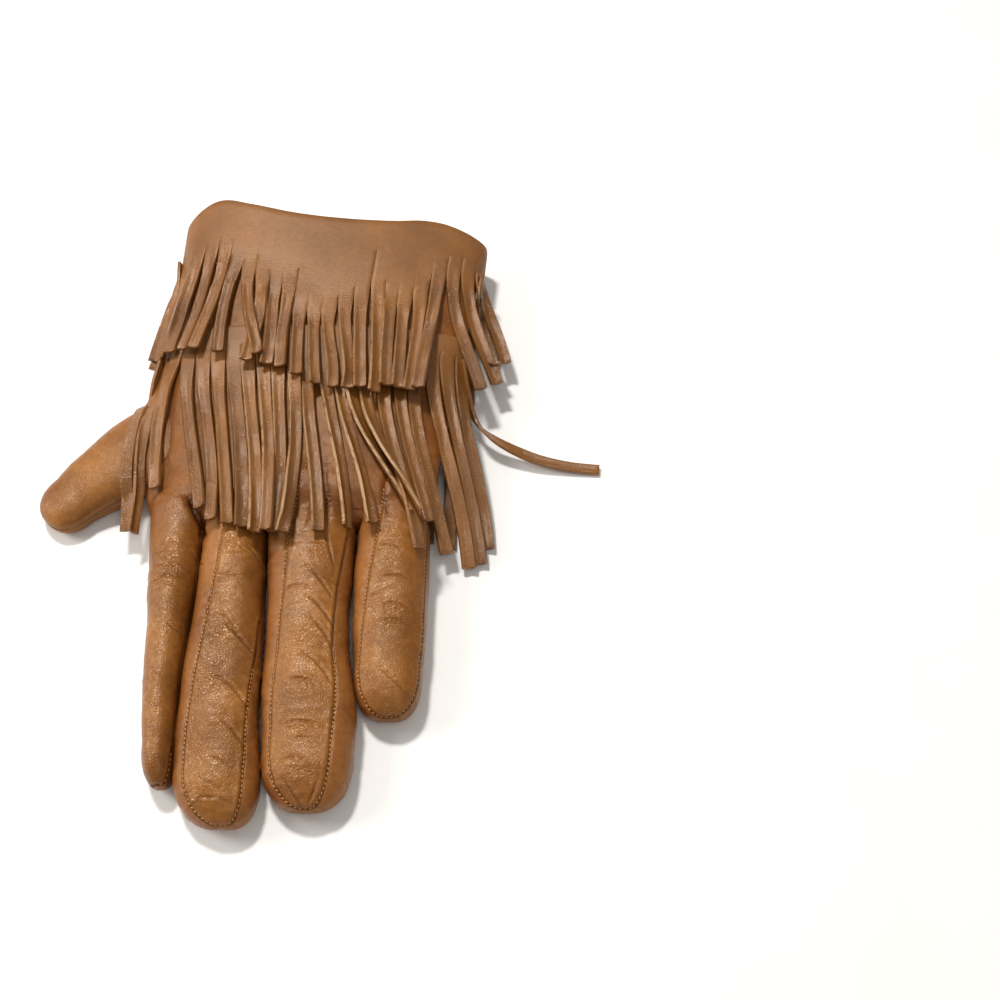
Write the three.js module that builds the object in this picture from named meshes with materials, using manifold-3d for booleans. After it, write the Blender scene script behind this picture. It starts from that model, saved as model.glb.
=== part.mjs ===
// Fringed leather glove: a left-hand dress glove lying back up, with two rows of fringe round its cuff.
// Millimetres. +X to the little finger, -X to the thumb, +Y from the fingertips to the cuff, +Z up.
// The glove rests on z = 0 and its origin is the middle of its footprint.
import * as THREE from 'three';
import { ParametricGeometry } from 'three/addons/geometries/ParametricGeometry.js';
import { mergeVertices } from 'three/addons/utils/BufferGeometryUtils.js';
import Module from 'manifold-3d';

const wasm = await Module();
wasm.setup();

// Leather of the skin and the clearance between pieces
const WALL = 1.3;
const GAP = 0.3;
// How far an end face reaches in past the wall, so that the hollow is cut cleanly through it
const RIM_INSET = 0.6;

// Places along the glove, larger toward the cuff
const CUFF_END = 102.0;
const CROTCH_FRONT = -5.0;
const UPPER_HEADER = { start: 89.0, end: 101.6 };
const LOWER_HEADER = { start: 43.0, end: 54.5 };

// The turned rim: its width, the share of it that rolls over and the rounding of its edges
const HEM_WIDTH = 2.6;
const HEM_ROLL = 0.45;
const HEM_ROUND = 0.9;

// Fringe: the header bands, clear of the skin, and the strips cut out of them
const HEADER_CLEAR = 0.4;
const HEADER_THICK = 1.1;
const STRIP_THICK = 1.0;
const STRIP_WIDTH = 4.4;
const STRIP_PITCH = 4.8;
const STRIP_SEGMENTS = 4;
const UNDER_SEGMENTS = 3;
const STRAY_SEGMENTS = 8;

// Root of a strip: how deep it sits in its header, how far it runs on straight, and how much thinner and
// narrower its buried end is
const ROOT_DEPTH = 1.2;
const ROOT_LENGTH = 3.0;
const ROOT_THIN = 0.5;
const ROOT_NARROW = 0.9;
const ROOT_SPAN = 0.02;

// Height of the middle of a strip over the skin: in the lower row, over the thumb, and in the upper row where
// it lies on the lower one
const LOWER_LIFT = 1.1;
const THUMB_LIFT = 1.9;
const UPPER_LIFT = 2.8;
const LAP_END = LOWER_HEADER.end + 2.0;

// How fast a strip beside the hand turns level, the steepest it may lean to the side, and the height under
// which it lies level
const SIDE_TURN = 1.7;
const STEEPEST = 0.5;
const ON_TABLE = 2.0;

// Strips lower than this are laid on the table
const TABLE_SNAP = 0.05;

// Roundness of the soft ovals: domed above, and pressed flat below where the leather rests
const DOME_POWER = 2.3;
const SOLE_POWER = 3.6;
const SOLE_FLAT = 1.09;
const WAIST_HEIGHT = 0.42;

// Numbers of sides of the lofts, and of steps in which the way round the hand is measured
const HAND_SIDES = 24;
const FINGER_SIDES = 12;
const ROUND_STEPS = 720;

// The hand from the crotch to the cuff: edges, underside and top at each place along the glove.
// lean raises the thumb side of the top and lowers the other side.
const HAND = [
  { y: -15.0, left: -43.0, right: 35.0, low: 4.5, high: 12.0, lean: 0.0 },
  { y: -11.0, left: -46.6, right: 37.6, low: 1.6, high: 15.6, lean: 0.0 },
  { y: 4.0, left: -48.4, right: 39.2, low: 1.6, high: 17.0, lean: 0.0 },
  { y: 20.0, left: -49.2, right: 41.2, low: 1.6, high: 17.4, lean: 0.0 },
  { y: 29.0, left: -49.0, right: 42.4, low: 3.1, high: 17.8, lean: 0.3 },
  { y: 88.0, left: -48.8, right: 51.0, low: 3.1, high: 20.4, lean: 3.0 },
  { y: 108.0, left: -49.0, right: 52.6, low: 3.1, high: 21.4, lean: 4.2 },
];

// How far the rim sweeps back, from the thumb side (at = -1) to the little finger side (at = 1)
const RIM_SWEEP = [
  { at: -1.0, sweep: 1.0 },
  { at: -0.78, sweep: 5.5 },
  { at: -0.3, sweep: 2.4 },
  { at: 0.1, sweep: 0.0 },
  { at: 0.6, sweep: -0.6 },
  { at: 0.86, sweep: -3.2 },
  { at: 1.0, sweep: -6.4 },
];
const SWEEP_START = 60.0;

// Fingers from the hand to where the tip starts to round, then the tip itself
const FINGERS = {
  index: {
    stations: [
      { y: 4.0, left: -43.0, right: -31.0, low: 4.0, high: 12.0 },
      { y: -19.0, left: -46.0, right: -30.1, low: 1.5, high: 15.0 },
      { y: -32.0, left: -44.5, right: -29.9, low: 0.0, high: 14.8 },
      { y: -54.0, left: -42.3, right: -30.3, low: 0.0, high: 14.0 },
      { y: -72.0, left: -40.7, right: -30.4, low: 0.0, high: 13.2 },
      { y: -86.0, left: -38.8, right: -29.8, low: 0.0, high: 12.2 },
    ],
    tip: { y: -97.6, x: -32.4 },
  },
  middle: {
    stations: [
      { y: 4.0, left: -26.0, right: -13.0, low: 4.0, high: 13.0 },
      { y: -19.0, left: -29.3, right: -11.2, low: 1.5, high: 15.6 },
      { y: -32.0, left: -29.3, right: -10.1, low: 0.0, high: 15.2 },
      { y: -54.0, left: -29.7, right: -8.6, low: 0.0, high: 14.2 },
      { y: -78.0, left: -29.6, right: -7.6, low: 0.0, high: 13.4 },
      { y: -94.0, left: -28.6, right: -5.6, low: 0.0, high: 12.4 },
    ],
    tip: { y: -107.8, x: -15.2 },
  },
  ring: {
    stations: [
      { y: 4.0, left: -7.5, right: 12.0, low: 4.0, high: 13.0 },
      { y: -19.0, left: -10.6, right: 15.3, low: 1.5, high: 15.4 },
      { y: -32.0, left: -9.5, right: 15.0, low: 0.0, high: 15.0 },
      { y: -54.0, left: -8.0, right: 15.4, low: 0.0, high: 14.2 },
      { y: -74.0, left: -7.2, right: 17.6, low: 0.0, high: 13.4 },
      { y: -87.0, left: -6.2, right: 18.9, low: 0.0, high: 12.4 },
    ],
    tip: { y: -103.6, x: 7.2 },
  },
  little: {
    stations: [
      { y: 4.0, left: 19.0, right: 34.0, low: 4.0, high: 12.0 },
      { y: -19.0, left: 16.1, right: 37.3, low: 1.5, high: 14.6 },
      { y: -32.0, left: 15.7, right: 37.4, low: 0.0, high: 14.2 },
      { y: -46.0, left: 16.0, right: 37.2, low: 0.0, high: 13.6 },
      { y: -62.0, left: 17.2, right: 36.6, low: 0.0, high: 12.6 },
    ],
    tip: { y: -78.2, x: 27.4 },
  },
};
const FINGER_NAMES = ['index', 'middle', 'ring', 'little'];
// Rounding of a tip: shares of the way to it, the last one, its roundness and the half width left at its end
const TIP_TURNS = [0.5, 0.86];
const TIP_LAST = 0.995;
const TIP_POWER = 2.5;
const TIP_HALF = 0.5;

// The thumb along its own line: middle, width across, underside, top and where it is widest
const THUMB = [
  { x: -36.0, y: 19.0, width: 24.0, low: 4.0, high: 12.0, waist: 0.5 },
  { x: -47.0, y: 14.6, width: 31.0, low: 1.8, high: 14.0, waist: 0.55 },
  { x: -54.0, y: 10.6, width: 30.0, low: 1.4, high: 13.6, waist: 0.58 },
  { x: -61.0, y: 5.6, width: 27.6, low: 0.4, high: 12.6, waist: 0.56 },
  { x: -67.5, y: 0.4, width: 24.6, low: 0.0, high: 11.2, waist: 0.5 },
  { x: -73.0, y: -4.2, width: 20.6, low: 0.0, high: 9.6, waist: 0.45 },
];
const THUMB_TIP = { x: -81.4, y: -11.2 };

// Side walls of the fingers: half their height at the hand, near the tip and at the point, how far before
// the fingertip they end, and the length of the point
const FOURCHETTE = { baseHalf: 4.4, tipHalf: 3.4, pointHalf: 1.2, beforeTip: 7.0, pointLength: 9.0 };
// Web between two fingers: where it ends, how far it reaches past a finger's side, and how far past the
// finger's own middle each wedge starts
const WEB_END = -16.0;
const WEB_STEP = 0.1;
const WEB_REACH = 2.2;
const WEDGE_OFFSET = 0.8;
// Half the size of a cutter that reaches past the whole glove
const PAST_ALL = 140.0;

// Strips of the upper row over the back, from the thumb side: where each tip lies, how far it bows to the
// right, and whether it lies over the hand (1) or hangs beside it (0)
const UPPER_TIPS = [
  { x: -57.4, y: 36.0, z: 3.4, bow: 0.0, over: 0 },
  { x: -57.2, y: 38.0, z: 8.6, bow: 0.0, over: 0 },
  { x: -55.4, y: 40.0, z: 13.6, bow: -0.6, over: 0 },
  { x: -49.8, y: 42.0, z: 17.6, bow: -0.5, over: 1 },
  { x: -44.4, y: 44.0, z: 19.6, bow: 0.3, over: 1 },
  { x: -38.6, y: 45.6, z: 20.6, bow: 0.6, over: 1 },
  { x: -30.2, y: 42.4, z: 21.6, bow: -0.6, over: 1 },
  { x: -22.6, y: 39.0, z: 22.6, bow: 0.4, over: 1 },
  { x: -17.4, y: 37.8, z: 22.4, bow: 0.6, over: 1 },
  { x: -11.8, y: 36.2, z: 22.0, bow: 0.4, over: 1 },
  { x: -6.6, y: 31.8, z: 21.8, bow: 0.3, over: 1 },
  { x: -1.6, y: 28.6, z: 21.6, bow: 0.2, over: 1 },
  { x: 3.4, y: 28.0, z: 21.6, bow: 0.2, over: 1 },
  { x: 8.4, y: 27.2, z: 21.6, bow: 0.2, over: 1 },
  { x: 13.4, y: 27.4, z: 21.8, bow: 0.2, over: 1 },
  { x: 18.4, y: 26.2, z: 21.6, bow: 0.2, over: 1 },
  { x: 23.4, y: 27.0, z: 21.4, bow: 0.2, over: 1 },
  { x: 28.4, y: 26.2, z: 21.2, bow: 0.0, over: 1 },
  { x: 33.4, y: 27.8, z: 20.6, bow: 0.0, over: 1 },
  { x: 41.0, y: 30.0, z: 18.6, bow: -0.6, over: 1 },
  { x: 49.6, y: 30.6, z: 15.6, bow: -0.4, over: 0 },
  { x: 56.4, y: 36.0, z: 12.0, bow: 0.4, over: 0 },
  { x: 60.4, y: 48.0, z: 8.0, bow: 0.6, over: 0 },
  { x: 58.4, y: 43.0, z: 2.6, bow: 0.0, over: 0 },
];

// Strips of the lower row over the back, from the thumb side
const LOWER_TIPS = [
  { x: -51.6, y: -15.6, z: 6.8, bow: -2.4, over: 0 },
  { x: -54.8, y: -18.0, z: 9.6, bow: -3.0, over: 0 },
  { x: -45.4, y: -2.8, z: 15.2, bow: 0.0, over: 1 },
  { x: -40.4, y: 6.8, z: 18.0, bow: 0.2, over: 1 },
  { x: -32.6, y: -14.5, z: 17.6, bow: 0.4, over: 1 },
  { x: -27.8, y: -18.5, z: 17.4, bow: 0.2, over: 1 },
  { x: -23.0, y: -19.5, z: 17.6, bow: 0.0, over: 1 },
  { x: -18.2, y: -21.0, z: 17.4, bow: 0.0, over: 1 },
  { x: -13.4, y: -22.0, z: 17.0, bow: 0.0, over: 1 },
  { x: -8.6, y: -22.0, z: 17.4, bow: 0.0, over: 1 },
  { x: -3.8, y: -22.8, z: 17.6, bow: 0.0, over: 1 },
  { x: 1.2, y: -23.4, z: 17.4, bow: 0.0, over: 1 },
  { x: 6.2, y: -22.4, z: 17.4, bow: 0.0, over: 1 },
  { x: 11.2, y: -18.1, z: 17.2, bow: 0.2, over: 1 },
  { x: 16.6, y: -19.9, z: 17.0, bow: 0.2, over: 1 },
  { x: 23.6, y: -19.5, z: 17.4, bow: -0.4, over: 1 },
  { x: 30.6, y: -18.8, z: 18.0, bow: -0.6, over: 1 },
  { x: 36.2, y: -20.1, z: 16.4, bow: -0.6, over: 1 },
  { x: 42.4, y: -22.3, z: 9.0, bow: 1.6, over: 1 },
  { x: 48.5, y: -26.7, z: 2.0, bow: 1.2, over: 1 },
  { x: 54.0, y: -19.6, z: 1.4, bow: 1.0, over: 0 },
  { x: 59.6, y: -26.7, z: 1.0, bow: 1.2, over: 0 },
];

// The one strip that curls away to the right across the table
const STRAY = [
  { x: 47.6, y: 33.0, z: 7.4 },
  { x: 51.6, y: 23.4, z: 7.0 },
  { x: 66.0, y: 14.6, z: 3.6 },
  { x: 79.0, y: 11.8, z: 1.4 },
  { x: 89.0, y: 10.9, z: 0.8 },
];

// Where on its length the curling strip starts to turn flat, and how fast
const STRAY_TURN = { from: 0.15, rate: 2.0 };

// Strips under the palm: mean place of the tips, where they drop to the table, and how uneven they are
const UNDER = {
  upper: { tip: 36.5, drop: 87.0, wave: 1.2 },
  lower: { tip: -18.0, drop: 26.0, wave: 1.6 },
};
const UNDER_DROP = 7.0;
const UNDER_BEAT = 1.3;

const COLOURS = {
  skin: { color: 0xa8702f, roughness: 0.42, metalness: 0.0 },
  side: { color: 0x8a5522, roughness: 0.5, metalness: 0.0 },
  fringe: { color: 0xa26f42, roughness: 0.38, metalness: 0.0 },
  hem: { color: 0xa87741, roughness: 0.45, metalness: 0.0 },
};

const lerp = THREE.MathUtils.lerp;

// A row of a table at any value of its first column, by straight lines between its rows
function rowAt(table, value) {
  const key = Object.keys(table[0])[0];
  let i = table.length - 2;
  for (let k = 0; k < table.length - 1; k += 1) {
    if ((value - table[k][key]) * (value - table[k + 1][key]) <= 0) {
      i = k;
      break;
    }
  }
  const t = (value - table[i][key]) / (table[i + 1][key] - table[i][key]);
  const row = {};
  for (const name of Object.keys(table[i])) row[name] = lerp(table[i][name], table[i + 1][name], t);
  return row;
}

// Height at which a row is widest
function waistOf(row) {
  return lerp(row.low, row.high, row.waist ?? WAIST_HEIGHT);
}

// How far a place on the cuff is swept back. side runs from -1 at the thumb side to 1.
function sweepAt(side, y) {
  if (y <= SWEEP_START) return 0;
  const share = Math.min((y - SWEEP_START) / (CUFF_END - SWEEP_START), 1);
  return rowAt(RIM_SWEEP, THREE.MathUtils.clamp(side, -1, 1)).sweep * share;
}

// Point on the soft oval of a row. angle runs from the little finger side over the top to the thumb side.
function ovalPoint(row, angle, outset) {
  const c = Math.cos(angle);
  const s = Math.sin(angle);
  const middle = (row.left + row.right) / 2;
  const across = (row.right - row.left) / 2 + outset;
  const waist = waistOf(row);
  const lean = row.lean ?? 0;
  const power = s > 0 ? DOME_POWER : SOLE_POWER;
  const side = Math.sign(c) * Math.abs(c) ** (2 / power);
  const rise = s > 0 ? row.high - waist + outset - lean * side : waist - row.low + outset;
  const x = middle + across * side;
  const share = Math.abs(s) ** (2 / power);
  const z = s > 0 ? waist + rise * share : waist - rise * Math.min(share * SOLE_FLAT, 1);
  return new THREE.Vector3(x, row.y + sweepAt(side, row.y), z);
}

// The same oval as the loft makes it, with straight sides between its corners
function handPoint(row, angle, outset) {
  const corner = (angle / (Math.PI * 2)) * HAND_SIDES;
  const before = Math.floor(corner);
  const at = (index) => ovalPoint(row, (index / HAND_SIDES) * Math.PI * 2, outset);
  return at(before).lerp(at(before + 1), corner - before);
}

// Height of the top of one oval row at a place across it, or 0 beside it
function ovalTop(row, x) {
  const middle = (row.left + row.right) / 2;
  const across = (row.right - row.left) / 2;
  const side = (x - middle) / across;
  if (Math.abs(side) >= 1) return 0;
  const waist = waistOf(row);
  const rise = row.high - waist - (row.lean ?? 0) * side;
  return waist + rise * (1 - Math.abs(side) ** DOME_POWER) ** (1 / DOME_POWER);
}

// The thumb's rows with the direction that crosses the thumb at each of them
function thumbRows() {
  const line = [...THUMB, THUMB_TIP];
  return THUMB.map((row, i) => {
    const before = line[Math.max(i - 1, 0)];
    const after = line[i + 1];
    const along = new THREE.Vector3(after.x - before.x, after.y - before.y, 0).normalize();
    return { ...row, left: -row.width / 2, right: row.width / 2, along };
  });
}

// Height of the hand's and fingers' upper surface over a place on the table
function handHeight(x, y) {
  let height = 0;
  if (y > HAND[0].y) height = ovalTop(rowAt(HAND, y), x);
  for (const name of FINGER_NAMES) {
    const { stations, tip } = FINGERS[name];
    if (y < stations[0].y && y > tip.y) {
      const last = stations[stations.length - 1];
      height = Math.max(height, ovalTop(y > last.y ? rowAt(stations, y) : last, x));
    }
  }
  return height;
}

// Height of the thumb's upper surface over a place on the table
function thumbHeight(x, y) {
  const rows = thumbRows();
  let height = 0;
  for (let i = 0; i < rows.length - 1; i += 1) {
    const dx = x - rows[i].x;
    const dy = y - rows[i].y;
    const alongX = rows[i + 1].x - rows[i].x;
    const alongY = rows[i + 1].y - rows[i].y;
    const step = Math.hypot(alongX, alongY);
    const share = (dx * alongX + dy * alongY) / step ** 2;
    const sideways = (dy * alongX - dx * alongY) / step;
    if (share < -0.1 || share > 1.1) continue;
    const row = {};
    for (const key of ['left', 'right', 'low', 'high', 'waist']) {
      row[key] = lerp(rows[i][key], rows[i + 1][key], share);
    }
    height = Math.max(height, ovalTop(row, sideways));
  }
  return height;
}

// A closed three.js geometry as a solid, with its faces turned outward
function solidOf(geometry) {
  geometry.deleteAttribute('normal');
  geometry.deleteAttribute('uv');
  const merged = mergeVertices(geometry, 1e-4);
  const places = merged.getAttribute('position');
  const triangles = [];
  for (let i = 0; i < merged.index.count; i += 3) {
    const a = merged.index.getX(i);
    const b = merged.index.getX(i + 1);
    const c = merged.index.getX(i + 2);
    if (a !== b && b !== c && c !== a) triangles.push([a, b, c]);
  }
  const at = (i) => new THREE.Vector3().fromBufferAttribute(places, i);
  let volume = 0;
  for (const [a, b, c] of triangles) volume += at(a).dot(at(b).cross(at(c)));
  const facing = volume > 0 ? triangles : triangles.map(([a, b, c]) => [a, c, b]);
  const vertProperties = new Float32Array(places.array);
  const triVerts = new Uint32Array(facing.flat());
  return new wasm.Manifold(new wasm.Mesh({ numProp: 3, vertProperties, triVerts }));
}

// A loft through rings. Each ring is a function of the angle; the ends close to their middles.
function loft(rings, sides) {
  const stacks = rings.length + 1;
  const middleOf = (ring) => ring(0).add(ring(Math.PI)).multiplyScalar(0.5);
  const surface = (u, v, target) => {
    const i = Math.round(v * stacks);
    if (i === 0) target.copy(middleOf(rings[0]));
    else if (i === stacks) target.copy(middleOf(rings[rings.length - 1]));
    else target.copy(rings[i - 1](u === 1 ? 0 : u * Math.PI * 2));
  };
  return solidOf(new ParametricGeometry(surface, sides, stacks));
}

// A closed band round the hand. Its section is a loop of places along the hand, each with its outset.
function ringLoft(section) {
  const surface = (u, v, target) => {
    const { y, outset } = section[Math.round(v * section.length) % section.length];
    target.copy(ovalPoint(rowAt(HAND, y), u === 1 ? 0 : u * Math.PI * 2, outset));
  };
  return solidOf(new ParametricGeometry(surface, HAND_SIDES, section.length));
}

// Rows that round off the end of a finger or the thumb, each a smaller copy of the last full row
function roundedRow(row, turn) {
  const size = (1 - turn ** TIP_POWER) ** (1 / TIP_POWER);
  const middle = (row.left + row.right) / 2;
  const half = ((row.right - row.left) / 2) * size;
  const waist = waistOf(row);
  return {
    ...row,
    left: middle - half,
    right: middle + half,
    low: lerp(waist, row.low, size),
    high: lerp(waist, row.high, size),
  };
}

function grownRow(row, outset) {
  return {
    ...row,
    left: row.left - outset,
    right: row.right + outset,
    low: row.low - outset,
    high: row.high + outset,
  };
}

function fingerSolid({ stations, tip }, outset) {
  const rows = stations.map((row) => grownRow(row, outset));
  const last = rows[rows.length - 1];
  const tipY = tip.y - outset;
  const middle = (last.left + last.right) / 2;
  for (const turn of TIP_TURNS) {
    const row = roundedRow(last, turn);
    const shift = (tip.x - middle) * turn ** 2;
    rows.push({ ...row, left: row.left + shift, right: row.right + shift, y: lerp(last.y, tipY, turn) });
  }
  const end = roundedRow(last, TIP_LAST);
  rows.push({ ...end, left: tip.x - TIP_HALF, right: tip.x + TIP_HALF, y: tipY });
  return loft(rows.map((row) => (angle) => ovalPoint(row, angle, 0)), FINGER_SIDES);
}

function thumbSolid(outset) {
  const rows = thumbRows().map((row) => grownRow(row, outset));
  const last = rows[rows.length - 1];
  const tip = new THREE.Vector3(THUMB_TIP.x, THUMB_TIP.y, 0).addScaledVector(last.along, outset);
  for (const turn of [...TIP_TURNS, TIP_LAST]) {
    const row = roundedRow(last, turn);
    rows.push({ ...row, x: lerp(last.x, tip.x, turn), y: lerp(last.y, tip.y, turn) });
  }
  const ring = (row) => (angle) => {
    const flat = ovalPoint({ ...row, lean: 0 }, angle, 0);
    return new THREE.Vector3(row.x - flat.x * row.along.y, row.y + flat.x * row.along.x, flat.z);
  };
  return loft(rows.map(ring), FINGER_SIDES);
}

// The hand between two places along it, grown or shrunk by outset. rim is the outset of an inner ring in its
// end faces, so that the end of a wall follows the sweep of the cuff.
function handSolid(from, to, outset, rim) {
  const inner = HAND.filter((row) => row.y > from + 0.5 && row.y < to - 0.5);
  const first = from < HAND[0].y ? { ...HAND[0], y: from } : rowAt(HAND, from);
  const rows = [first, ...inner, rowAt(HAND, to)];
  const rings = rows.map((row) => (angle) => ovalPoint(row, angle, outset));
  if (rim !== undefined) {
    rings.unshift((angle) => ovalPoint(rows[0], angle, rim));
    rings.push((angle) => ovalPoint(rows[rows.length - 1], angle, rim));
  }
  return loft(rings, HAND_SIDES);
}

function gloveForm(outset, cuffEnd) {
  let form = handSolid(HAND[0].y - outset, cuffEnd, outset, outset - WALL - RIM_INSET);
  for (const name of FINGER_NAMES) form = form.add(fingerSolid(FINGERS[name], outset));
  return form;
}

// Everything above (side 1) or below (side -1) the line along which back and palm part
function halfSpace(side) {
  const rows = [...FINGERS.middle.stations.slice(1)].reverse().concat(HAND.slice(2));
  const line = rows.map((row) => ({ y: row.y, z: waistOf(row) + (side * GAP) / 2 }));
  const shape = new THREE.Shape();
  shape.moveTo(-PAST_ALL, line[0].z);
  for (const { y, z } of line) shape.lineTo(y, z);
  shape.lineTo(PAST_ALL, line[line.length - 1].z);
  shape.lineTo(PAST_ALL, side * PAST_ALL);
  shape.lineTo(-PAST_ALL, side * PAST_ALL);
  shape.closePath();
  const geometry = new THREE.ExtrudeGeometry(shape, { depth: PAST_ALL * 2, bevelEnabled: false });
  geometry.translate(0, 0, -PAST_ALL);
  // The profile is drawn as (y, z) and extruded along x
  const basis = new THREE.Matrix4().makeBasis(
    new THREE.Vector3(0, 1, 0),
    new THREE.Vector3(0, 0, 1),
    new THREE.Vector3(1, 0, 0),
  );
  geometry.applyMatrix4(basis);
  return solidOf(geometry);
}

// Ring with four corners, for the wedges that part the side walls of the fingers
function boxRing(y, left, right, low, high) {
  const corners = [[right, high], [left, high], [left, low], [right, low]];
  return (angle) => {
    const [x, z] = corners[Math.round(angle / (Math.PI / 2)) % 4];
    return new THREE.Vector3(x, y, z);
  };
}

// Wedge over one side of a finger. side is 1 for its little finger side and -1 for its thumb side.
function sideWedge({ stations, tip }, side, grown) {
  const { baseHalf, tipHalf, pointHalf, beforeTip, pointLength } = FOURCHETTE;
  const end = tip.y + beforeTip;
  const taper = end + pointLength;
  const between = stations.slice(1).map((row) => row.y).filter((y) => y > taper + 2);
  const places = [CROTCH_FRONT, WEB_END + WEB_STEP, WEB_END - WEB_STEP, ...between, taper, end];
  const last = stations[stations.length - 1];
  const rings = places.map((y, i) => {
    const row = y > last.y ? rowAt(stations, y) : last;
    const middle = (row.left + row.right) / 2 + side * WEDGE_OFFSET;
    const reach = y > WEB_END ? WEB_REACH : GAP;
    const edge = (side > 0 ? row.right : row.left) + side * reach;
    const share = (CROTCH_FRONT - y) / (CROTCH_FRONT - taper);
    const half = (i === places.length - 1 ? pointHalf : lerp(baseHalf, tipHalf, Math.min(share, 1))) + grown;
    const waist = waistOf(row);
    const place = i === places.length - 1 ? y - grown : y;
    return boxRing(place, Math.min(middle, edge), Math.max(middle, edge), waist - half, waist + half);
  });
  return loft(rings, 4);
}

function fourchetteRegion(first, second, grown) {
  return sideWedge(FINGERS[first], 1, grown).add(sideWedge(FINGERS[second], -1, grown));
}

// The turned rim: a rolled ring over the end of the skin and of the upper header
function hemSolid() {
  const outer = HEADER_CLEAR + HEADER_THICK;
  const end = CUFF_END + HEM_WIDTH;
  const roll = HEM_WIDTH * HEM_ROLL;
  return ringLoft([
    { y: CUFF_END, outset: -WALL },
    { y: end - roll, outset: -WALL },
    { y: end, outset: -WALL + HEM_ROUND },
    { y: end, outset: outer - HEM_ROUND },
    { y: end - roll, outset: outer },
    { y: CUFF_END, outset: outer },
  ]);
}

function meshOf(name, solid, colour) {
  const { vertProperties, triVerts } = solid.getMesh();
  const geometry = new THREE.BufferGeometry();
  geometry.setAttribute('position', new THREE.BufferAttribute(new Float32Array(vertProperties), 3));
  geometry.setIndex(new THREE.BufferAttribute(new Uint32Array(triVerts), 1));
  geometry.computeVertexNormals();
  const mesh = new THREE.Mesh(geometry, new THREE.MeshStandardMaterial(colour));
  mesh.name = name;
  return mesh;
}

// Length of the way round a row's oval, and the place at a distance from the thumb side over the top
function wayRound(row, outset) {
  const points = [];
  for (let i = 0; i <= ROUND_STEPS; i += 1) {
    const angle = Math.PI - (i / ROUND_STEPS) * Math.PI * 2;
    points.push(handPoint(row, angle, outset));
  }
  const lengths = [0];
  for (let i = 1; i <= ROUND_STEPS; i += 1) {
    lengths.push(lengths[i - 1] + points[i].distanceTo(points[i - 1]));
  }
  const total = lengths[ROUND_STEPS];
  const angleAt = (distance) => {
    const d = ((distance % total) + total) % total;
    const i = Math.max(lengths.findIndex((length) => length > d), 1);
    const t = (d - lengths[i - 1]) / (lengths[i] - lengths[i - 1]);
    return Math.PI - ((i - 1 + t) / ROUND_STEPS) * Math.PI * 2;
  };
  return { total, angleAt };
}

// A cut strip: a flat box bent along a path. path gives the middle and the direction across at 0 to 1.
function stripSolid(path, segments) {
  const geometry = new THREE.BoxGeometry(STRIP_WIDTH, STRIP_THICK, 1, 1, 1, segments);
  const places = geometry.getAttribute('position');
  for (let i = 0; i < places.count; i += 1) {
    const t = places.getZ(i) + 0.5;
    const { middle, across } = path(t);
    const ahead = path(Math.min(t + ROOT_SPAN, 1)).middle;
    const behind = path(Math.max(t - ROOT_SPAN, 0)).middle;
    const along = ahead.sub(behind).normalize();
    const level = across.clone().addScaledVector(along, -across.dot(along)).normalize();
    const outward = new THREE.Vector3().crossVectors(along, level);
    const buried = t < ROOT_SPAN;
    const point = middle.addScaledVector(level, places.getX(i) * (buried ? ROOT_NARROW : 1));
    point.addScaledVector(outward, places.getY(i) * (buried ? ROOT_THIN : 1));
    if (point.z < TABLE_SNAP) point.z = 0;
    places.setXYZ(i, point.x, point.y, point.z);
  }
  return solidOf(geometry);
}

// Where a strip leaves its header: the place inside the header, the place below its edge and the way across
function stripRoot(header, angle) {
  const outset = HEADER_CLEAR + HEADER_THICK / 2;
  const spot = (y, turn) => handPoint(rowAt(HAND, y), turn, outset);
  const inside = spot(header.start + ROOT_DEPTH, angle);
  const below = spot(header.start - ROOT_LENGTH, angle);
  const across = spot(header.start, angle - 0.01).sub(spot(header.start, angle + 0.01)).normalize();
  return { inside, below, across };
}

// A strip over the back: from its root to its tip, never lower than what it lies on
function backStripPath(root, tip, restsOn) {
  const end = new THREE.Vector3(tip.x, tip.y, tip.z);
  return (t) => {
    const rootShare = 1 / STRIP_SEGMENTS;
    if (t < rootShare + 1e-6) {
      const middle = root.inside.clone().lerp(root.below, t / rootShare);
      return { middle, across: root.across.clone() };
    }
    const s = (t - rootShare) / (1 - rootShare);
    const middle = root.below.clone().lerp(end, s);
    middle.x += tip.bow * Math.sin(Math.PI * s);
    const reach = STRIP_WIDTH / 2;
    const left = restsOn(middle.x - reach, middle.y, tip.over);
    const right = restsOn(middle.x + reach, middle.y, tip.over);
    const under = Math.max(left, right, restsOn(middle.x, middle.y, tip.over));
    middle.z = Math.max(middle.z, under);
    const slope = THREE.MathUtils.clamp((right - left) / STRIP_WIDTH, -STEEPEST, STEEPEST);
    const flat = new THREE.Vector3(1, 0, under > ON_TABLE ? slope : 0).normalize();
    const turned = tip.over ? s : Math.min(s * SIDE_TURN, 1);
    return { middle, across: root.across.clone().lerp(flat, turned).normalize() };
  };
}

// A strip under the palm: it drops to the table past its row's header and lies flat
function palmStripPath(root, tipY, dropFrom) {
  const rootShare = 1 / UNDER_SEGMENTS;
  const flat = new THREE.Vector3(Math.sign(root.across.x), 0, 0);
  return (t) => {
    if (t < rootShare + 1e-6) {
      return { middle: root.inside.clone().lerp(root.below, t / rootShare), across: root.across.clone() };
    }
    const s = (t - rootShare) / (1 - rootShare);
    const dropped = dropFrom - UNDER_DROP;
    const middle = root.below.clone();
    middle.y = s < 0.5 ? lerp(root.below.y, dropped, s * 2) : lerp(dropped, tipY, s * 2 - 1);
    middle.z = lerp(root.below.z, STRIP_THICK / 2, Math.min(s * 2, 1));
    return { middle, across: root.across.clone().lerp(flat, Math.min(s * 2, 1)).normalize() };
  };
}

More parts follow.
